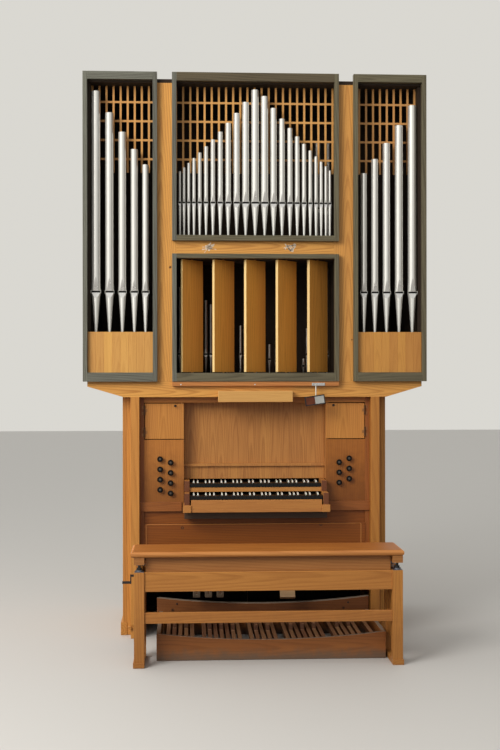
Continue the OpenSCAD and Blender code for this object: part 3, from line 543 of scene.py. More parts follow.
def joined(name, pieces):
    only(pieces[0])
    for piece in pieces[1:]:
        piece.select_set(True)
    if len(pieces) > 1:
        bpy.ops.object.join()
    made = bpy.context.object
    made.name = name
    made.data.name = name
    return made


def copied(pattern, name, matrix=None):
    made = bpy.data.objects.new(name, pattern.data.copy())
    scene.collection.objects.link(made)
    if matrix:
        made.data.transform(matrix)
    return made


def discard(obj):
    bpy.data.objects.remove(obj, do_unlink=True)


def cut_by(obj, cutter):
    apply_modifier(obj, "BOOLEAN", operation="DIFFERENCE", object=cutter, solver="EXACT")
    discard(cutter)


def boxes_of(node):
    """Lists the two corners of each separate part of a node."""
    base = merged_copy("base", node)
    boxes = [extent([base.data.vertices[i].co for i in group]) for group in islands(base.data)]
    discard(base)
    return boxes


def smooth(obj, degrees):
    only(obj)
    bpy.ops.object.shade_smooth_by_angle(angle=math.radians(degrees))


def paint(obj, materials, choose=lambda face: 0):
    """Gives the piece its materials and each face the one that choose names."""
    obj.data.materials.clear()
    for material in materials:
        obj.data.materials.append(material)
    for face in obj.data.polygons:
        face.material_index = choose(face)


def metal(name, colour, stained, rough, brush=(240.0, 240.0, 5.0), full=1.0, mottle=30.0,
          polish=0.2):
    made, tree, shader = new_material(name)
    here = add(tree, "ShaderNodeTexCoord").outputs["Object"]
    strokes = noise_at(tree, here, 1.0, 3, 0.6, brush)
    blotches = noise_at(tree, here, mottle, 4, 0.6)
    amount = plus(tree, times(tree, strokes, 0.45),
                  times(tree, calc(tree, "SUBTRACT", blotches, 0.4), 1.1), clamp=True)
    put(tree, shader.inputs["Base Color"], blend_colour(tree, amount, colour, stained))
    put(tree, shader.inputs["Roughness"], plus(tree, rough, swing(tree, blotches, 0.2)))
    shader.inputs["Metallic"].default_value = full
    if polish:
        bump(tree, shader, strokes, 0.0001, polish)
    return made


def mottled(name, light, dark, scale, detail=3, roughness=0.5, stretch=None):
    """A material whose colour is mixed by noise; it gives back the noise too."""
    made, tree, shader = new_material(name)
    figure = noise_at(tree, None, scale, detail, roughness, stretch)
    put(tree, shader.inputs["Base Color"], blend_colour(tree, figure, light, dark))
    return made, tree, shader, figure


pipe_body = turned("pipe_body", [(1, 0), (1, 0.3), (1, 0.65), (1, LIP), (1, 2), (BORE, 2),
                                 (BORE, 1.25)], 40)
cut_away(pipe_body, (0, FLAT - 1, 0), (0, -1, -FLAT))
cut_by(pipe_body, block("mouth_cutter", (-0.90, -1.4, -0.05), (0.90, -0.42, MOUTH)))
pipe_foot = turned("pipe_foot", [(TOE, -1), (0.88, -0.10), (0.97, -0.03), (1, 0)], 40)
cut_away(pipe_foot, (0, -0.58, 0), (0, -0.13, 0.30))
ears = [block("ear", (side * 0.99 - 0.03, -0.60, -0.02), (side * 0.99 + 0.03, -0.10, MOUTH + 0.05),
              0.01, 1) for side in (-1, 1)]
pipe_pattern = joined("pipe_pattern", [pipe_body, pipe_foot, *ears])
# Faces inside the mouth, the bore and on the languid take the near-black painted shade; the upper
# lip a darker tin, painted shade too.
for face in pipe_pattern.data.polygons:
    spot, facing = face.center, face.normal
    in_mouth = -0.001 < spot.z < MOUTH + 0.001 and abs(spot.x) < 0.901 and spot.y < -0.41 \
        and max(abs(c) for c in facing) > 0.999
    in_bore = spot.z > 1.2 and (facing.z > 0.9 and spot.z < 1.9
                                or facing.x * spot.x + facing.y * spot.y < -0.1)
    on_languid = abs(spot.z) < 0.001 and facing.z > 0.9
    on_lip = facing.y < -0.8 and face.area > 0.02 and len(face.vertices) > 5 and spot.z > 0
    on_lower = spot.z < 0 and facing.z > 0.5 and facing.y < -0.2
    face.material_index = 1 if in_mouth or in_bore or on_languid \
        else 3 if on_lower else 2 if on_lip else 0


def pipe_row(name, node, materials, foot_of):
    """A copy of the pattern at each of the node's pipes, its foot, lip and body stretched apart."""
    pipes = []
    for low, high in boxes_of(node):
        r = (high.x - low.x) / 2
        foot = foot_of(high.z - low.z)
        mouth, lip = low.z + foot, LIP_RADII * r
        body = high.z - mouth - lip
        pipe = copied(pipe_pattern, "pipe")
        marked = [face.material_index for face in pipe.data.polygons]
        for material in materials:
            pipe.data.materials.append(material)
        pipe.data.polygons.foreach_set("material_index", marked)
        for vert in pipe.data.vertices:
            x, y, z = vert.co
            wide = r if z > 0 else r + (TOE_RADIUS / TOE - r) * -z
            flare = 1 + 0.09 * min(max(LIP - z, 0), max(1 + z * 8, 0), 1) ** 2
            if z <= 0:
                up = z * foot
            elif z <= MOUTH:
                up = z / MOUTH * MOUTH_HEIGHT
            elif z <= LIP:
                up = MOUTH_HEIGHT + (z - MOUTH) / (LIP - MOUTH) * (lip - MOUTH_HEIGHT)
            else:
                up = lip + (z - LIP) * body
            vert.co = ((low.x + high.x) / 2 + x * wide * flare, high.y - r + y * wide, mouth + up)
        pipes.append(pipe)
    row = joined(name, pipes)
    smooth(row, 28)
    fasten(row, "organ", node)


sheet = dict(brush=(160.0, 160.0, 1.5), polish=0)
tin = metal("polished_tin", (0.82, 0.81, 0.765), (0.71, 0.69, 0.64), 0.09, full=0.62, mottle=6.0,
            **sheet)
# The pressed upper lip: a darker tin, painted shade.
upper_lip_shade_tin = metal("upper_lip_painted_shade", (0.62, 0.60, 0.57), (0.50, 0.475, 0.445), 0.25, full=0.6,
                mottle=20.0, **sheet)
lower_tin = metal("lower_lip_tin", (0.66, 0.655, 0.64), (0.56, 0.55, 0.53), 0.25, full=0.5,
                  mottle=20.0, **sheet)
# Near-black painted shade for the insides of mouths and bores.
painted_shade_black, tree, shader, figure = mottled("bore_painted_shade", (0.006, 0.006, 0.006), (0.016, 0.015, 0.013),
                                     60.0)
shader.inputs["Roughness"].default_value = 0.85
TOWER_FOOT, CENTRE_FOOT = 0.268, 0.204
pipe_row("tower_facade_pipes", "tower_pipes", (tin, painted_shade_black, upper_lip_shade_tin, lower_tin),
         lambda length: TOWER_FOOT)
pipe_row("centre_facade_pipes", "centre_pipes", (tin, painted_shade_black, upper_lip_shade_tin, lower_tin),
         lambda length: CENTRE_FOOT)

# Pipes inside the swell box and behind the centre field: the same make, rolled of a duller metal
# with more lead. The two behind the centre field, told by their length, have the facade's foot.
BEHIND_CENTRE, SHORT_FOOT, FOOT_SHARE = 0.62, 0.110, 0.45
dull = metal("dull_pipe_metal", (0.55, 0.53, 0.49), (0.30, 0.28, 0.25), 0.4, mottle=8.0, **sheet)
pipe_row("swell_pipes", "inner_pipes", (dull, painted_shade_black, dull, dull),
         lambda length: CENTRE_FOOT if abs(length - BEHIND_CENTRE) < 0.002
         else min(SHORT_FOOT, FOOT_SHARE * length))
discard(pipe_pattern)

# Lattices behind the pipes' tops: thin square slats of pine, halved over each other and clear
# varnished, set behind the frames to close the case and let the sound out.
slats = wood("lattice_slats", (0.64, 0.325, 0.10), (0.46, 0.20, 0.055), ring=0.006, depth=0.4,
             tone=0.3)
joinery("lattices", "pipe_lattices", slats, 0.0)

# Boards that the pipes stand on, and the walls of the swell box: plain planks, given the near-black
# painted shade of the case's inside.
joinery("toe_board_planks", "toe_boards", dark, 0.0)
joinery("swell_box_walls", "swell_box", dark, 0.0)

# Swell shutters: five tall pine boards that turn together on pivots in the box's front, with
# planed edges that meet when they close, painted pale as a highlight where they catch the light.
shutter_face = wood("shutter_pine", (0.82, 0.37, 0.068), (0.57, 0.215, 0.034), ring=0.014,
                    tone=0.12)
# Pale long edges: painted highlight.
edge_highlight_wood = wood("shutter_painted_highlight_edge", (0.84, 0.60, 0.27), (0.66, 0.42, 0.16), ring=0.004,
                    depth=0.35, tone=0.1, worn=0.1)


def on_long_edge(face):
    """The long narrow faces: smaller than the broad ones and larger than the roundings."""
    return 0.004 < face.area < 0.04


for n in range(1, 6):
    joinery(f"shutter_{n}", f"swell_shutter_{n}", shutter_face, 0.0015, axis=2,
            others=[(edge_highlight_wood, on_long_edge)], body=f"swell_shutter_{n}")

# Ledge under the swell frame: a thin pine strip, nailed to the case front with small bright pins,
# painted darker and redder as the shade under the frame.
ledge_shade_wood = wood("ledge_strip_shaded_pine", (0.52, 0.205, 0.060), (0.30, 0.10, 0.026), ring=0.01)
joinery("ledge", "ledge_strip", ledge_shade_wood)
ledge_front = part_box("ledge_strip")[0][1]
grit = (60.0, 60.0, 60.0)
bright = metal("bright_fitting", (0.72, 0.72, 0.72), (0.45, 0.44, 0.43), 0.3, grit)


def to_front(place, turn=0.0):
    """Turns what points up towards the front and moves it to its place."""
    return Matrix.Translation(place) @ Matrix.Rotation(math.pi / 2, 4, "X") \
        @ Matrix.Rotation(turn, 4, "Z")


def small_parts(name, pieces, material):
    """Joins small turned parts of one material and fastens them to the organ."""
    made = joined(name, pieces)
    smooth(made, 40)
    paint(made, [material])
    fasten(made, "organ", None)


pins = []
for x in (-0.441, -0.006):
    pins.append(turned("pin", [(0.0028, -0.002), (0.0042, 0.0), (0.0042, 0.0014),
                               (0.0022, 0.0026)], 14))
    pins[-1].data.transform(to_front((x, ledge_front, 1.494)))
small_parts("ledge_pins", pins, bright)

# Remnants of old adhesive tape on the rail between the fields: thin torn milky shreds in two
# heaps, browned by age and stuck on at all angles.
tape, tree, shader, figure = mottled("torn_tape", (0.95, 0.90, 0.80), (0.68, 0.46, 0.25),
                                     90.0, 4, 0.7)
shader.inputs["Roughness"].default_value = 0.35
bump(tree, shader, noise_at(tree, None, 300.0, 2), 0.0003, 0.6)
chance = random.Random(7)
shreds = []
for x, z, count in ((-0.274, 2.309, 14), (0.204, 2.310, 16)):
    for n in range(count):
        bpy.ops.mesh.primitive_grid_add(x_subdivisions=7, y_subdivisions=2, size=1)
        shred = bpy.context.object
        start_edit(shred)
        length, width = chance.uniform(0.025, 0.062), chance.uniform(0.0025, 0.007)
        bpy.ops.transform.resize(value=(length, width, 1), center_override=(0, 0, 0))
        bpy.ops.transform.vertex_random(offset=0.0016, seed=n + int(100 * abs(x)))
        end_edit()
        for vert in shred.data.vertices:
            vert.co.z = 0.0
        apply_modifier(shred, "SOLIDIFY", thickness=0.0004, offset=1.0)
        turn = chance.uniform(-1.2, 1.2)
        aside, up = chance.uniform(-0.022, 0.024), chance.uniform(-0.018, 0.016)
        shred.data.transform(to_front((x + aside, FRONT - 0.0004, z + up), turn))
        shreds.append(shred)
tape_remnants = joined("tape_remnants", shreds)
paint(tape_remnants, [tape])
fasten(tape_remnants, "organ", None)

# Console: solid pine posts and sides, between them framed boards of a browner pine, and the
# two stop jambs, painted darker downwards as shade; the post and the jamb at the right get darker
# copies, painted shade too.
post = dict(ring=0.015, tone=0.06)
posts_pine = wood("post_pine", (0.58, 0.255, 0.058), (0.34, 0.120, 0.022), **post,
                  marks=(((-0.7711, FRONT, 0.262), 0.005, 0.5, (0.05, 0.02, 0.01)),
                         ((-0.7718, FRONT, 1.0026), 0.004, 0.5, (0.08, 0.03, 0.012))))
# The right post: a darker copy, painted shade.
shaded_post = wood("shaded_post_pine", (0.46, 0.190, 0.040), (0.27, 0.088, 0.015), **post)
joinery("posts", "front_posts", posts_pine, 0.0015,
        others=[(shaded_post, at_right)])
joinery("console_side_boards", "console_sides", pine_plain)
console = wood("console_pine", (0.44, 0.170, 0.036), (0.25, 0.082, 0.016), ring=0.011)
# The low rail under the keys is darker.
low_rail = wood("low_rail_darker", (0.30, 0.100, 0.024), (0.17, 0.052, 0.012), ring=0.011)
JAMB_OUTER, KNEE_TOP, KEYS_LOW = 0.735, 0.70, 0.85
joinery("console_rails", "console_frame", console,
        others=[(low_rail, lambda face: abs(face.center.x) < JAMB_OUTER
                 and KNEE_TOP < face.center.z < KEYS_LOW)])
jamb = dict(ring=0.010, depth=0.45, tone=0.1)
# The jambs grow darker downwards: painted shade.
jamb_wood = wood("jamb_pine", (0.46, 0.175, 0.036), (0.27, 0.085, 0.016), **jamb,
                 grime_and_shade=(0.80, 1.16, (0.15, 0.046, 0.010), 0.62))
shaded_jamb = wood("shaded_jamb_pine", (0.35, 0.120, 0.022), (0.20, 0.058, 0.010), **jamb,
                   grime_and_shade=(0.80, 1.16, (0.12, 0.035, 0.007), 0.62))
joinery("stop_jamb_boards", "stop_jambs", jamb_wood, 0.001, axis=2,
        others=[(shaded_jamb, at_right)])

# Music desk: staved boards in the recess behind the keys, glued with the grain upright, and a
# narrow ledge that holds the music.
desk_wood = wood("desk_staves", (0.47, 0.205, 0.056), (0.235, 0.082, 0.021), ring=0.009,
                 stave=0.062, tone=0.12, fibre_depth=0.9)
joinery("desk_boards", "music_desk", desk_wood, axis=2)

# Keyboard frame: red-brown cheeks with pale worn top edges, a pale slip before the keys, a back
# board between the manuals and the key bed under them, painted dark brown as shade.
cheek_wood = wood("cheek_stain", (0.155, 0.048, 0.015), (0.08, 0.024, 0.008), ring=0.006, worn=1.0,
                  rough=0.35, coat=0.2)
slip_wood = wood("slip_beech", (0.48, 0.205, 0.052), (0.33, 0.125, 0.030), ring=0.008, depth=0.4)
bed_shade_wood = wood("key_bed_painted_shade", (0.066, 0.038, 0.023), (0.036, 0.020, 0.012), ring=0.006, coat=0.0)
CHEEK_INNER, BED_TOP, SLIP_TOP = 0.3915, 0.727, 0.795
joinery("key_cheeks", "key_frame", cheek_wood, 0.0015,
        others=[(slip_wood, lambda face: abs(face.center.x) < CHEEK_INNER or face.normal.z > 0.7
                 or BED_TOP < face.center.z < SLIP_TOP),
                (bed_shade_wood, lambda face: face.center.z < BED_TOP)])

# Keys: 33 naturals of blackened pear in each manual, and between them sharps topped with bone,
# narrower above than below and sloped at the front, their sides painted darker as shade.
ebony, tree, shader, figure = mottled("blackened_pear", (0.004, 0.004, 0.004),
                                      (0.010, 0.009, 0.008), 1.0, 3, 0.6, (900.0, 60.0, 900.0))
put(tree, shader.inputs["Roughness"],
    calc(tree, "MULTIPLY_ADD", noise_at(tree, None, 70.0), 0.2, 0.3))
shader.inputs["Specular IOR Level"].default_value = 0.22
bump(tree, shader, figure, 0.0001, 0.4)
joinery("naturals", "natural_keys", ebony, 0.0006, axis=1)
bone, tree, shader, figure = mottled("key_bone", (0.80, 0.775, 0.71), (0.66, 0.61, 0.51),
                                     1.0, 3, 0.5, (500.0, 30.0, 200.0))
put(tree, shader.inputs["Roughness"], calc(tree, "MULTIPLY_ADD", figure, 0.15, 0.22))
shader.inputs["Subsurface Weight"].default_value = 0.08
bump(tree, shader, figure, 0.0001, 0.3)


def select_where(obj, kind, rule):
    """Selects the faces or the edges that the rule names, in edit mode."""
    work = bmesh.from_edit_mesh(obj.data)
    for part in getattr(work, kind):
        part.select_set(rule(part))
    bmesh.update_edit_mesh(obj.data)


TOP_WIDTH, FRONT_SLOPE = 0.56, 0.006
boxes = boxes_of("sharp_keys")
size = boxes[0][1] - boxes[0][0]
sharp = block("sharp", (-size.x / 2, 0, 0), (size.x / 2, size.y, size.z))
start_edit(sharp, "DESELECT")
select_where(sharp, "faces", lambda face: face.normal.z > 0.9)
bpy.ops.transform.resize(value=(TOP_WIDTH, 1, 1), center_override=(0, size.y, size.z))
select_where(sharp, "edges", lambda edge: all(v.co.y < 0.001 and v.co.z > 0.5 * size.z
                                              for v in edge.verts))
bpy.ops.transform.translate(value=(0, FRONT_SLOPE, 0))
bpy.ops.mesh.select_all(action="SELECT")
bpy.ops.mesh.bevel(offset=0.0011, segments=2, affect="EDGES")
end_edit()
sharps = [copied(sharp, "sharp", Matrix.Translation(((low.x + high.x) / 2, low.y, low.z)))
          for low, high in boxes]
discard(sharp)
sharp_tops = joined("sharps", sharps)
smooth(sharp_tops, 40)
# The sharps' sides face away from the light: a darker bone, painted shade.
shaded_sharp_sides = metal("shaded_sharp_sides", (0.30, 0.255, 0.19), (0.20, 0.165, 0.12), 0.4,
                  (300.0, 30.0, 300.0), 0.0)
paint(sharp_tops, [bone, shaded_sharp_sides], lambda face: 1 if abs(face.normal.x) > 0.75 else 0)
fasten(sharp_tops, "organ", "sharp_keys")

# Stop knobs: heads turned of black hardwood on black stems that slide in the bored jambs, each
# with a plain grey disc let into its face.
KNOB_DEPTH, DISC_RADIUS = 0.0252, 0.0062
stop_black, tree, shader, figure = mottled("turned_black", (0.004, 0.004, 0.004),
                                           (0.010, 0.009, 0.009), 200.0)
shader.inputs["Specular IOR Level"].default_value = 0.12
put(tree, shader.inputs["Roughness"],
    calc(tree, "MULTIPLY_ADD", noise_at(tree, None, 90.0), 0.2, 0.3))
bump(tree, shader, noise_at(tree, None, 1.0, 2, 0.5, (90.0, 1400.0, 90.0)), 0.0001, 0.3)
disc_grey, tree, shader, figure = mottled("grey_disc", (0.070, 0.062, 0.052),
                                          (0.032, 0.027, 0.022), 120.0)
shader.inputs["Roughness"].default_value = 0.4
bump(tree, shader, noise_at(tree, None, 400.0), 0.0001, 0.3)
knob = turned("knob", [(0.0060, -0.0600), (0.0060, -0.0004), (0.0102, 0.0004), (0.0105, 0.0018),
                       (0.0098, 0.0040), (0.0090, 0.0080), (0.0096, 0.0112), (0.0119, 0.0140),
                       (0.0150, 0.0158), (0.0167, 0.0176), (0.0175, 0.0200), (0.0172, 0.0222),
                       (0.0160, 0.0242), (0.0142, 0.0256), (0.0134, 0.0260), (0.0128, 0.0256),
                       (0.0122, 0.0246), (0.0088, 0.0244), (0.0064, 0.0246), (0.0060, 0.0249),
                       (0.0020, 0.0251)], 36)
smooth(knob, 40)
paint(knob, [stop_black, disc_grey], lambda face: 1 if face.center.z > 0.02445
      and math.hypot(face.center.x, face.center.y) < DISC_RADIUS else 0)
for n in range(1, 15):
    low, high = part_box(f"stop_knob_{n}")
    head = copied(knob, f"stop_head_{n}",
                  to_front(((low[0] + high[0]) / 2, low[1] + KNOB_DEPTH, (low[2] + high[2]) / 2)))
    fasten(head, f"stop_knob_{n}", f"stop_knob_{n}")
discard(knob)

# Doors beside the desk: two small flush pine boards on brass pin hinges, each with a turned
# lock plate of dark iron, and a key left in the left one.
door_wood = wood("door_pine", (0.55, 0.235, 0.052), (0.33, 0.115, 0.022), ring=0.011, depth=0.45,
                 tone=0.05)
fine_grit = (80.0, 80.0, 80.0)
iron = metal("dark_iron", (0.035, 0.031, 0.028), (0.016, 0.013, 0.011), 0.42, fine_grit, 0.6)
bronze = metal("aged_bronze", (0.115, 0.052, 0.022), (0.05, 0.022, 0.011), 0.45, fine_grit, 0.4)
leaf_brass = metal("hinge_leaf_brass", (0.36, 0.16, 0.05), (0.20, 0.08, 0.025), 0.5, fine_grit, 0.2)
HINGE_X, HINGE_Y, HINGE_RADIUS, LEAF_BACK = 0.6575, -0.0855, 0.0054, -0.0806


def on_hinge_pin(face):
    return math.hypot(abs(face.center.x) - HINGE_X, face.center.y - HINGE_Y) < HINGE_RADIUS


for side in ("left", "right"):
    joinery(f"door_{side}", f"{side}_door", door_wood, axis=2,
            others=[(leaf_brass, lambda face: face.center.y < LEAF_BACK),
                    (bronze, on_hinge_pin)], body=f"{side}_door")
door_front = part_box("left_door")[1][1] - 0.020
escutcheon = turned("escutcheon", [(0.0072, -0.0010), (0.0078, 0.0), (0.0074, 0.0010),
                                   (0.0056, 0.0012), (0.0046, 0.0004), (0.0020, 0.0003)], 24)
escutcheon.data.transform(Matrix.Rotation(math.pi / 2, 4, "X"))
smooth(escutcheon, 40)
paint(escutcheon, [iron])
for side, x, z in (("left", -0.4747, 1.3666), ("right", 0.4695, 1.3692)):
    lock = copied(escutcheon, f"{side}_lock", Matrix.Translation((x, door_front, z)))
    if side == "left":
        shank = turned("shank", [(0.0016, -0.004), (0.0018, 0.012), (0.0034, 0.0125),
                                 (0.0034, 0.0145), (0.0018, 0.015), (0.0015, 0.017)], 14)
        bpy.ops.mesh.primitive_torus_add(major_radius=0.0058, minor_radius=0.0014,
                                         major_segments=22, minor_segments=8,
                                         location=(0.0, 0.0, 0.0225), rotation=(math.pi / 2, 0, 0))
        bow = bpy.context.object
        bpy.ops.object.transform_apply()
        key = joined("key", [shank, bow])
        smooth(key, 40)
        paint(key, [iron])
        key.data.transform(to_front((x, door_front, z)))
        lock = joined("left_lock", [lock, key])
    fasten(lock, f"{side}_door", None)
discard(escutcheon)

# Knee panel: a broad board under the console's low rail, stained red-brown, framed by a thin
# paler border, with two screw holes near its upper edge, shallow cups in dark iron whose black is
# painted shade.
knee_wood = wood("knee_stain", (0.24, 0.070, 0.012), (0.12, 0.032, 0.006), ring=0.014, depth=0.45,
                 tone=0.1)
joinery("knee_board", "knee_panel", knee_wood)
knee_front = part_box("knee_panel")[0][1]
border_wood = wood("knee_border", (0.43, 0.165, 0.038), (0.29, 0.100, 0.020), ring=0.006, depth=0.3,
                   worn=0.5)
left, right, foot, head = -0.650, 0.636, 0.330, 0.660
wide, wide_head = 0.0045, 0.005
strips = []
for low_x, low_z, high_x, high_z in ((left, head, right, head + wide_head),
                                     (left, foot, left + wide, head),
                                     (right - wide, foot, right, head),
                                     (left, foot - wide, right, foot)):
    strips.append(block("strip", (low_x, knee_front - 0.0022, low_z),
                        (high_x, knee_front - 0.0001, high_z), 0.0007))
border = joined("knee_panel_border", strips)
lay_grain(border)
smooth(border, 40)
paint(border, [border_wood])
fasten(border, "organ", None)
# Screw holes: shallow turned cups whose near-black iron is painted shade in the holes.
holes = []
for x, z in ((-0.4343, 0.6426), (0.3922, 0.6569)):
    holes.append(turned("hole", [(0.0082, -0.0008), (0.0086, 0.0001), (0.0078, 0.0006),
                                 (0.0060, 0.0001), (0.0020, -0.0002)], 20))
    holes[-1].data.transform(to_front((x, knee_front, z)))
small_parts("knee_screw_holes", holes, iron)

# Lamp over the desk: a long plain bar of pale beech with eased edges, hung under the fascia
# board, whose light falls down on the music.
lamp_wood = wood("lamp_beech", (0.61, 0.33, 0.102), (0.46, 0.215, 0.055), ring=0.009, depth=0.3,
                 tone=0.05)
joinery("desk_lamp_bar", "desk_lamp", lamp_wood, 0.003)

# Fittings of metal: the mirror's plate, the swell pedal's bracket, the pins of the door hinges
# and the flanged nuts of the bench's jacks on their grey plates.
plate_grey = metal("plate_grey", (0.21, 0.22, 0.26), (0.13, 0.135, 0.15), 0.45, grit)
blacked = metal("blackened_steel", (0.012, 0.011, 0.011), (0.007, 0.006, 0.006), 0.45, fine_grit,
                0.25)


def fitting_metal(face):
    spot = face.center
    on_mirror_plate = spot.z > 1.45
    on_pedal_bracket = spot.y > -0.1 and spot.z < 0.4
    if on_mirror_plate or on_pedal_bracket:
        return 0
    if spot.z > 1.0:
        return 3 if on_hinge_pin(face) else 4
    on_jack_plate = 0.50 < spot.z < 0.514
    return 2 if on_jack_plate else 1


fittings = joinery("fittings", "metal_brackets", bright, 0.0006)
paint(fittings, [bright, blacked, plate_grey, bronze, leaf_brass], fitting_metal)


def slotted_screws(name, radius, places, material):
    """Raised screw heads with a sawn slot, each at (x, y, z, turn of its slot)."""
    r = radius
    screw = turned("screw", [(r * 0.6, -0.001), (r, 0.0), (r * 0.96, r * 0.2), (r * 0.7, r * 0.38),
                             (r * 0.3, r * 0.46)], 18)
    cut_by(screw, block("saw", (-r * 1.2, -r * 0.11, r * 0.16), (r * 1.2, r * 0.11, r)))
    heads = [copied(screw, name, to_front(place, turn)) for *place, turn in places]
    discard(screw)
    small_parts(name, heads, material)


PLATE_FRONT = -0.1775
slotted_screws("plate_screws", 0.0036, [(x, PLATE_FRONT, 1.495, turn) for x, turn in
                                        ((0.3355, 0.4), (0.372, 1.1), (0.401, 2.3))],
               bright)

# Mirror: a cream painted arm that swivels in the plate, and a black rounded frame around the
# glass. The glass's colour is a painted reflection of the pale wall, and of red-brown wood in its
# left half.
cream, tree, shader, figure = mottled("cream_enamel", (0.78, 0.76, 0.68), (0.66, 0.62, 0.52), 80.0)
shader.inputs["Roughness"].default_value = 0.3
bump(tree, shader, noise_at(tree, None, 500.0), 0.0001, 0.2)
joinery("mirror_stem", "mirror_arm", cream, 0.0005, body="mirror_arm")
# Glass: its base colour is a painted reflection, pale, and red-brown in its left half.
glass, tree, shader = new_material("glass_painted_reflection")
shown = add(tree, "ShaderNodeAttribute", attribute_name="shown").outputs["Fac"]
pale = blend_colour(tree, noise_at(tree, None, 30.0), (0.74, 0.73, 0.68), (0.52, 0.52, 0.48))
reflected_wood = blend_colour(tree, noise_at(tree, None, 45.0), (0.26, 0.085, 0.045), (0.13, 0.04, 0.025))
put(tree, shader.inputs["Base Color"],
    blend_colour(tree, calc(tree, "LESS_THAN", shown, 0.5), pale, reflected_wood))
shader.inputs["Metallic"].default_value = 0.35
shader.inputs["Roughness"].default_value = 0.08
mirror_left, mirror_right, mirror_back, mirror_face = -0.068, 0.050, 0.014, 0.028
glass_sunk = 0.0016
mirror = block("mirror", (mirror_left, -0.038, mirror_back), (mirror_right, 0.017, mirror_face))
start_edit(mirror, "DESELECT")
select_where(mirror, "edges", lambda edge: abs(edge.verts[0].co.z - edge.verts[1].co.z) > 0.01)
bpy.ops.mesh.bevel(offset=0.0085, segments=6, affect="EDGES")
bpy.ops.mesh.select_all(action="DESELECT")
select_where(mirror, "faces", lambda face: face.normal.z > 0.9)
bpy.ops.mesh.inset(thickness=0.0052)
bpy.ops.mesh.extrude_region_move(TRANSFORM_OT_translate={"value": (0, 0, -glass_sunk)})
bpy.ops.mesh.inset(thickness=0.0006)
end_edit()
reflection_across = mirror.data.attributes.new("shown", "FLOAT", "POINT")
for vert in mirror.data.vertices:
    reflection_across.data[vert.index].value = (vert.co.x - mirror_left) / (mirror_right - mirror_left)
apply_modifier(mirror, "BEVEL", width=0.0012, segments=2, limit_method="ANGLE",
               angle_limit=math.radians(50))
smooth(mirror, 40)
mirror_black = metal("mirror_black", (0.006, 0.005, 0.005), (0.014, 0.011, 0.010), 0.5, full=0.0)
paint(mirror, [mirror_black, glass], lambda face: 1 if face.normal.z > 0.9
      and abs(face.center.z - (mirror_face - glass_sunk)) < 0.0004 and face.area > 0.002 else 0)
slant = Matrix.Rotation(math.radians(-8), 4, "Y")
mirror.data.transform(slant @ Matrix.Rotation(math.pi / 2, 4, "X"))
stem_x, head_y, head_z = 0.352, -0.1895, 1.413
mirror.data.transform(Matrix.Translation((stem_x, head_y, head_z)))
lugs = []
for x in (stem_x - 0.013, stem_x + 0.008):
    lugs.append(block("lug", (x, head_y - 0.015, head_z - 0.006),
                      (x + 0.005, head_y + 0.006, head_z + 0.006), 0.0012))
    paint(lugs[-1], [mirror_black])
mirror = joined("mirror", [mirror, *lugs])
fasten(mirror, "mirror_head", "mirror_head")

# Coupler pedals: three small hinged pads of grey worn wood over the pedals, each in a dark slot,
# and beside them the swell pedal, a broad pale beech shoe that rocks on its bracket.
pad_wood = wood("coupler_pad_wood", (0.125, 0.090, 0.060), (0.075, 0.052, 0.034), ring=0.006,
                worn=0.6, coat=0.0)
joinery("coupler_pads", "coupler_pedals", pad_wood, 0.0025)
shoe_wood = wood("swell_shoe_beech", (0.50, 0.295, 0.120), (0.38, 0.20, 0.073), ring=0.005,
                 depth=0.3, worn=0.7, grime_and_shade=(0.24, 0.33, (0.30, 0.23, 0.17), 0.55))
joinery("swell_shoe", "swell_pedal", shoe_wood, 0.002, body="swell_pedal")

# Pedalboard: two curved oak boards, front and rear, with worn grey upper edges, and the pedal
# keys between them, oak bars worn pale on top where the feet slide over them.
pedal_oak = wood("pedal_oak", (0.31, 0.110, 0.028), (0.165, 0.052, 0.013), ring=0.012, worn=0.9,
                 coat=0.02, grime_and_shade=(0.0, 0.075, (0.11, 0.085, 0.062), 0.8))
CAP_FRONT = -0.0805
cap_oak = wood("pedal_cap", (0.19, 0.068, 0.021), (0.10, 0.032, 0.009), ring=0.012, worn=1.0,
               marks=(((-0.491, CAP_FRONT, 0.153), 0.014, 0.8, (0.03, 0.014, 0.008)),
                      ((0.528, CAP_FRONT, 0.156), 0.012, 0.8, (0.03, 0.014, 0.008))))
edge_oak = wood("worn_pedal_edge", (0.30, 0.235, 0.175), (0.20, 0.145, 0.10), ring=0.006, depth=0.4,
                coat=0.0)
joinery("pedalboard", "pedalboard_frame", pedal_oak, 0.0015, axis=0,
        others=[(cap_oak, lambda face: abs(face.center.y - CAP_FRONT) < 0.004),
                (edge_oak, lambda face: face.normal.z > 0.7)])
bar_oak = wood("pedal_bar_oak", (0.30, 0.155, 0.080), (0.17, 0.075, 0.036), ring=0.006, depth=0.45,
               tone=0.6, worn=0.6, coat=0.0)
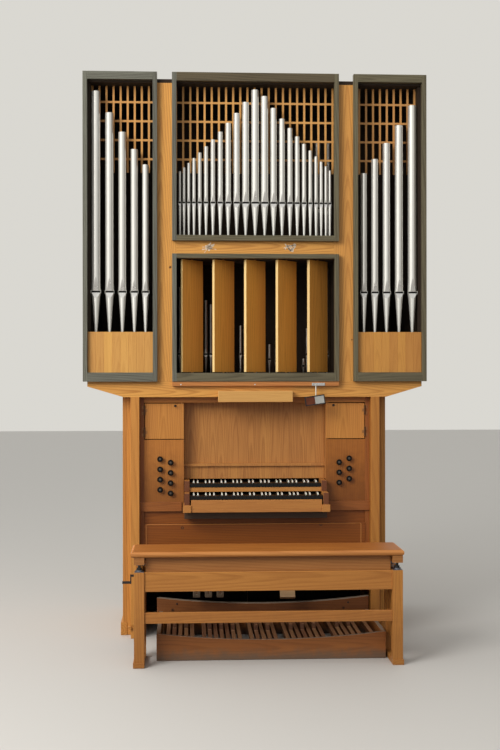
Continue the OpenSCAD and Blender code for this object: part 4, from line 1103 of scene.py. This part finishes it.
side_oak = wood("pedal_bar_side", (0.115, 0.045, 0.018), (0.055, 0.020, 0.008), ring=0.006,
                depth=0.45, tone=0.4, worn=0.5, coat=0.0)
joinery("pedal_bars", "pedal_keys", bar_oak, 0.0015, axis=1,
        others=[(side_oak, lambda face: face.normal.z < 0.6)])
slotted_screws("cap_screws", 0.0055, [(-0.4659, CAP_FRONT - 0.0001, 0.1900, 0.8),
                                      (0.5561, CAP_FRONT - 0.0001, 0.1890, 2.0)],
               iron)

# Bench: two end frames of pine posts on foot boards, joined by rails, and a thick seat with a
# rounded front edge, painted lighter as a highlight, and aprons, which steel jacks in the posts
# lift when the crank is turned.
# The end frames and rails grow darker towards the floor.
bench_pine = wood("bench_pine", (0.47, 0.196, 0.045), (0.27, 0.093, 0.0175), ring=0.013, depth=0.55,
                  worn=0.5, grime_and_shade=(0.10, 0.42, (0.24, 0.095, 0.025), 0.4))
joinery("bench_end_frames", "bench_ends", bench_pine, 0.002)
joinery("bench_front_rails", "bench_rails", bench_pine, 0.002)
board = dict(ring=0.016, worn=0.9)
seat_pine = wood("seat_pine", (0.47, 0.172, 0.032), (0.28, 0.088, 0.014), **board)
# The rounded front edge catches the light: a lighter pine, painted highlight.
nose_highlight_pine = wood("seat_nose_painted_highlight", (0.56, 0.235, 0.062), (0.36, 0.125, 0.028), **board)
apron_pine = wood("seat_apron", (0.375, 0.160, 0.045), (0.23, 0.085, 0.020), ring=0.012, worn=0.5)
SEAT_BOTTOM, BLOCK_BOTTOM = 0.58, 0.5449
BENCH_X, JACK_REACH, JACK_RADIUS = 0.030, 0.6895, 0.0085
joinery("seat", "bench_seat", seat_pine, 0.003, body="bench_seat",
        others=[(nose_highlight_pine, lambda face: face.normal.y < -0.3 and face.center.z > SEAT_BOTTOM),
                (apron_pine, lambda face: face.center.z < SEAT_BOTTOM),
                (blacked, lambda face: face.center.z < BLOCK_BOTTOM
                 and abs(abs(face.center.x - BENCH_X) - JACK_REACH) < JACK_RADIUS)])
joinery("crank", "bench_crank", blacked, body="bench_crank")

low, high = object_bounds()
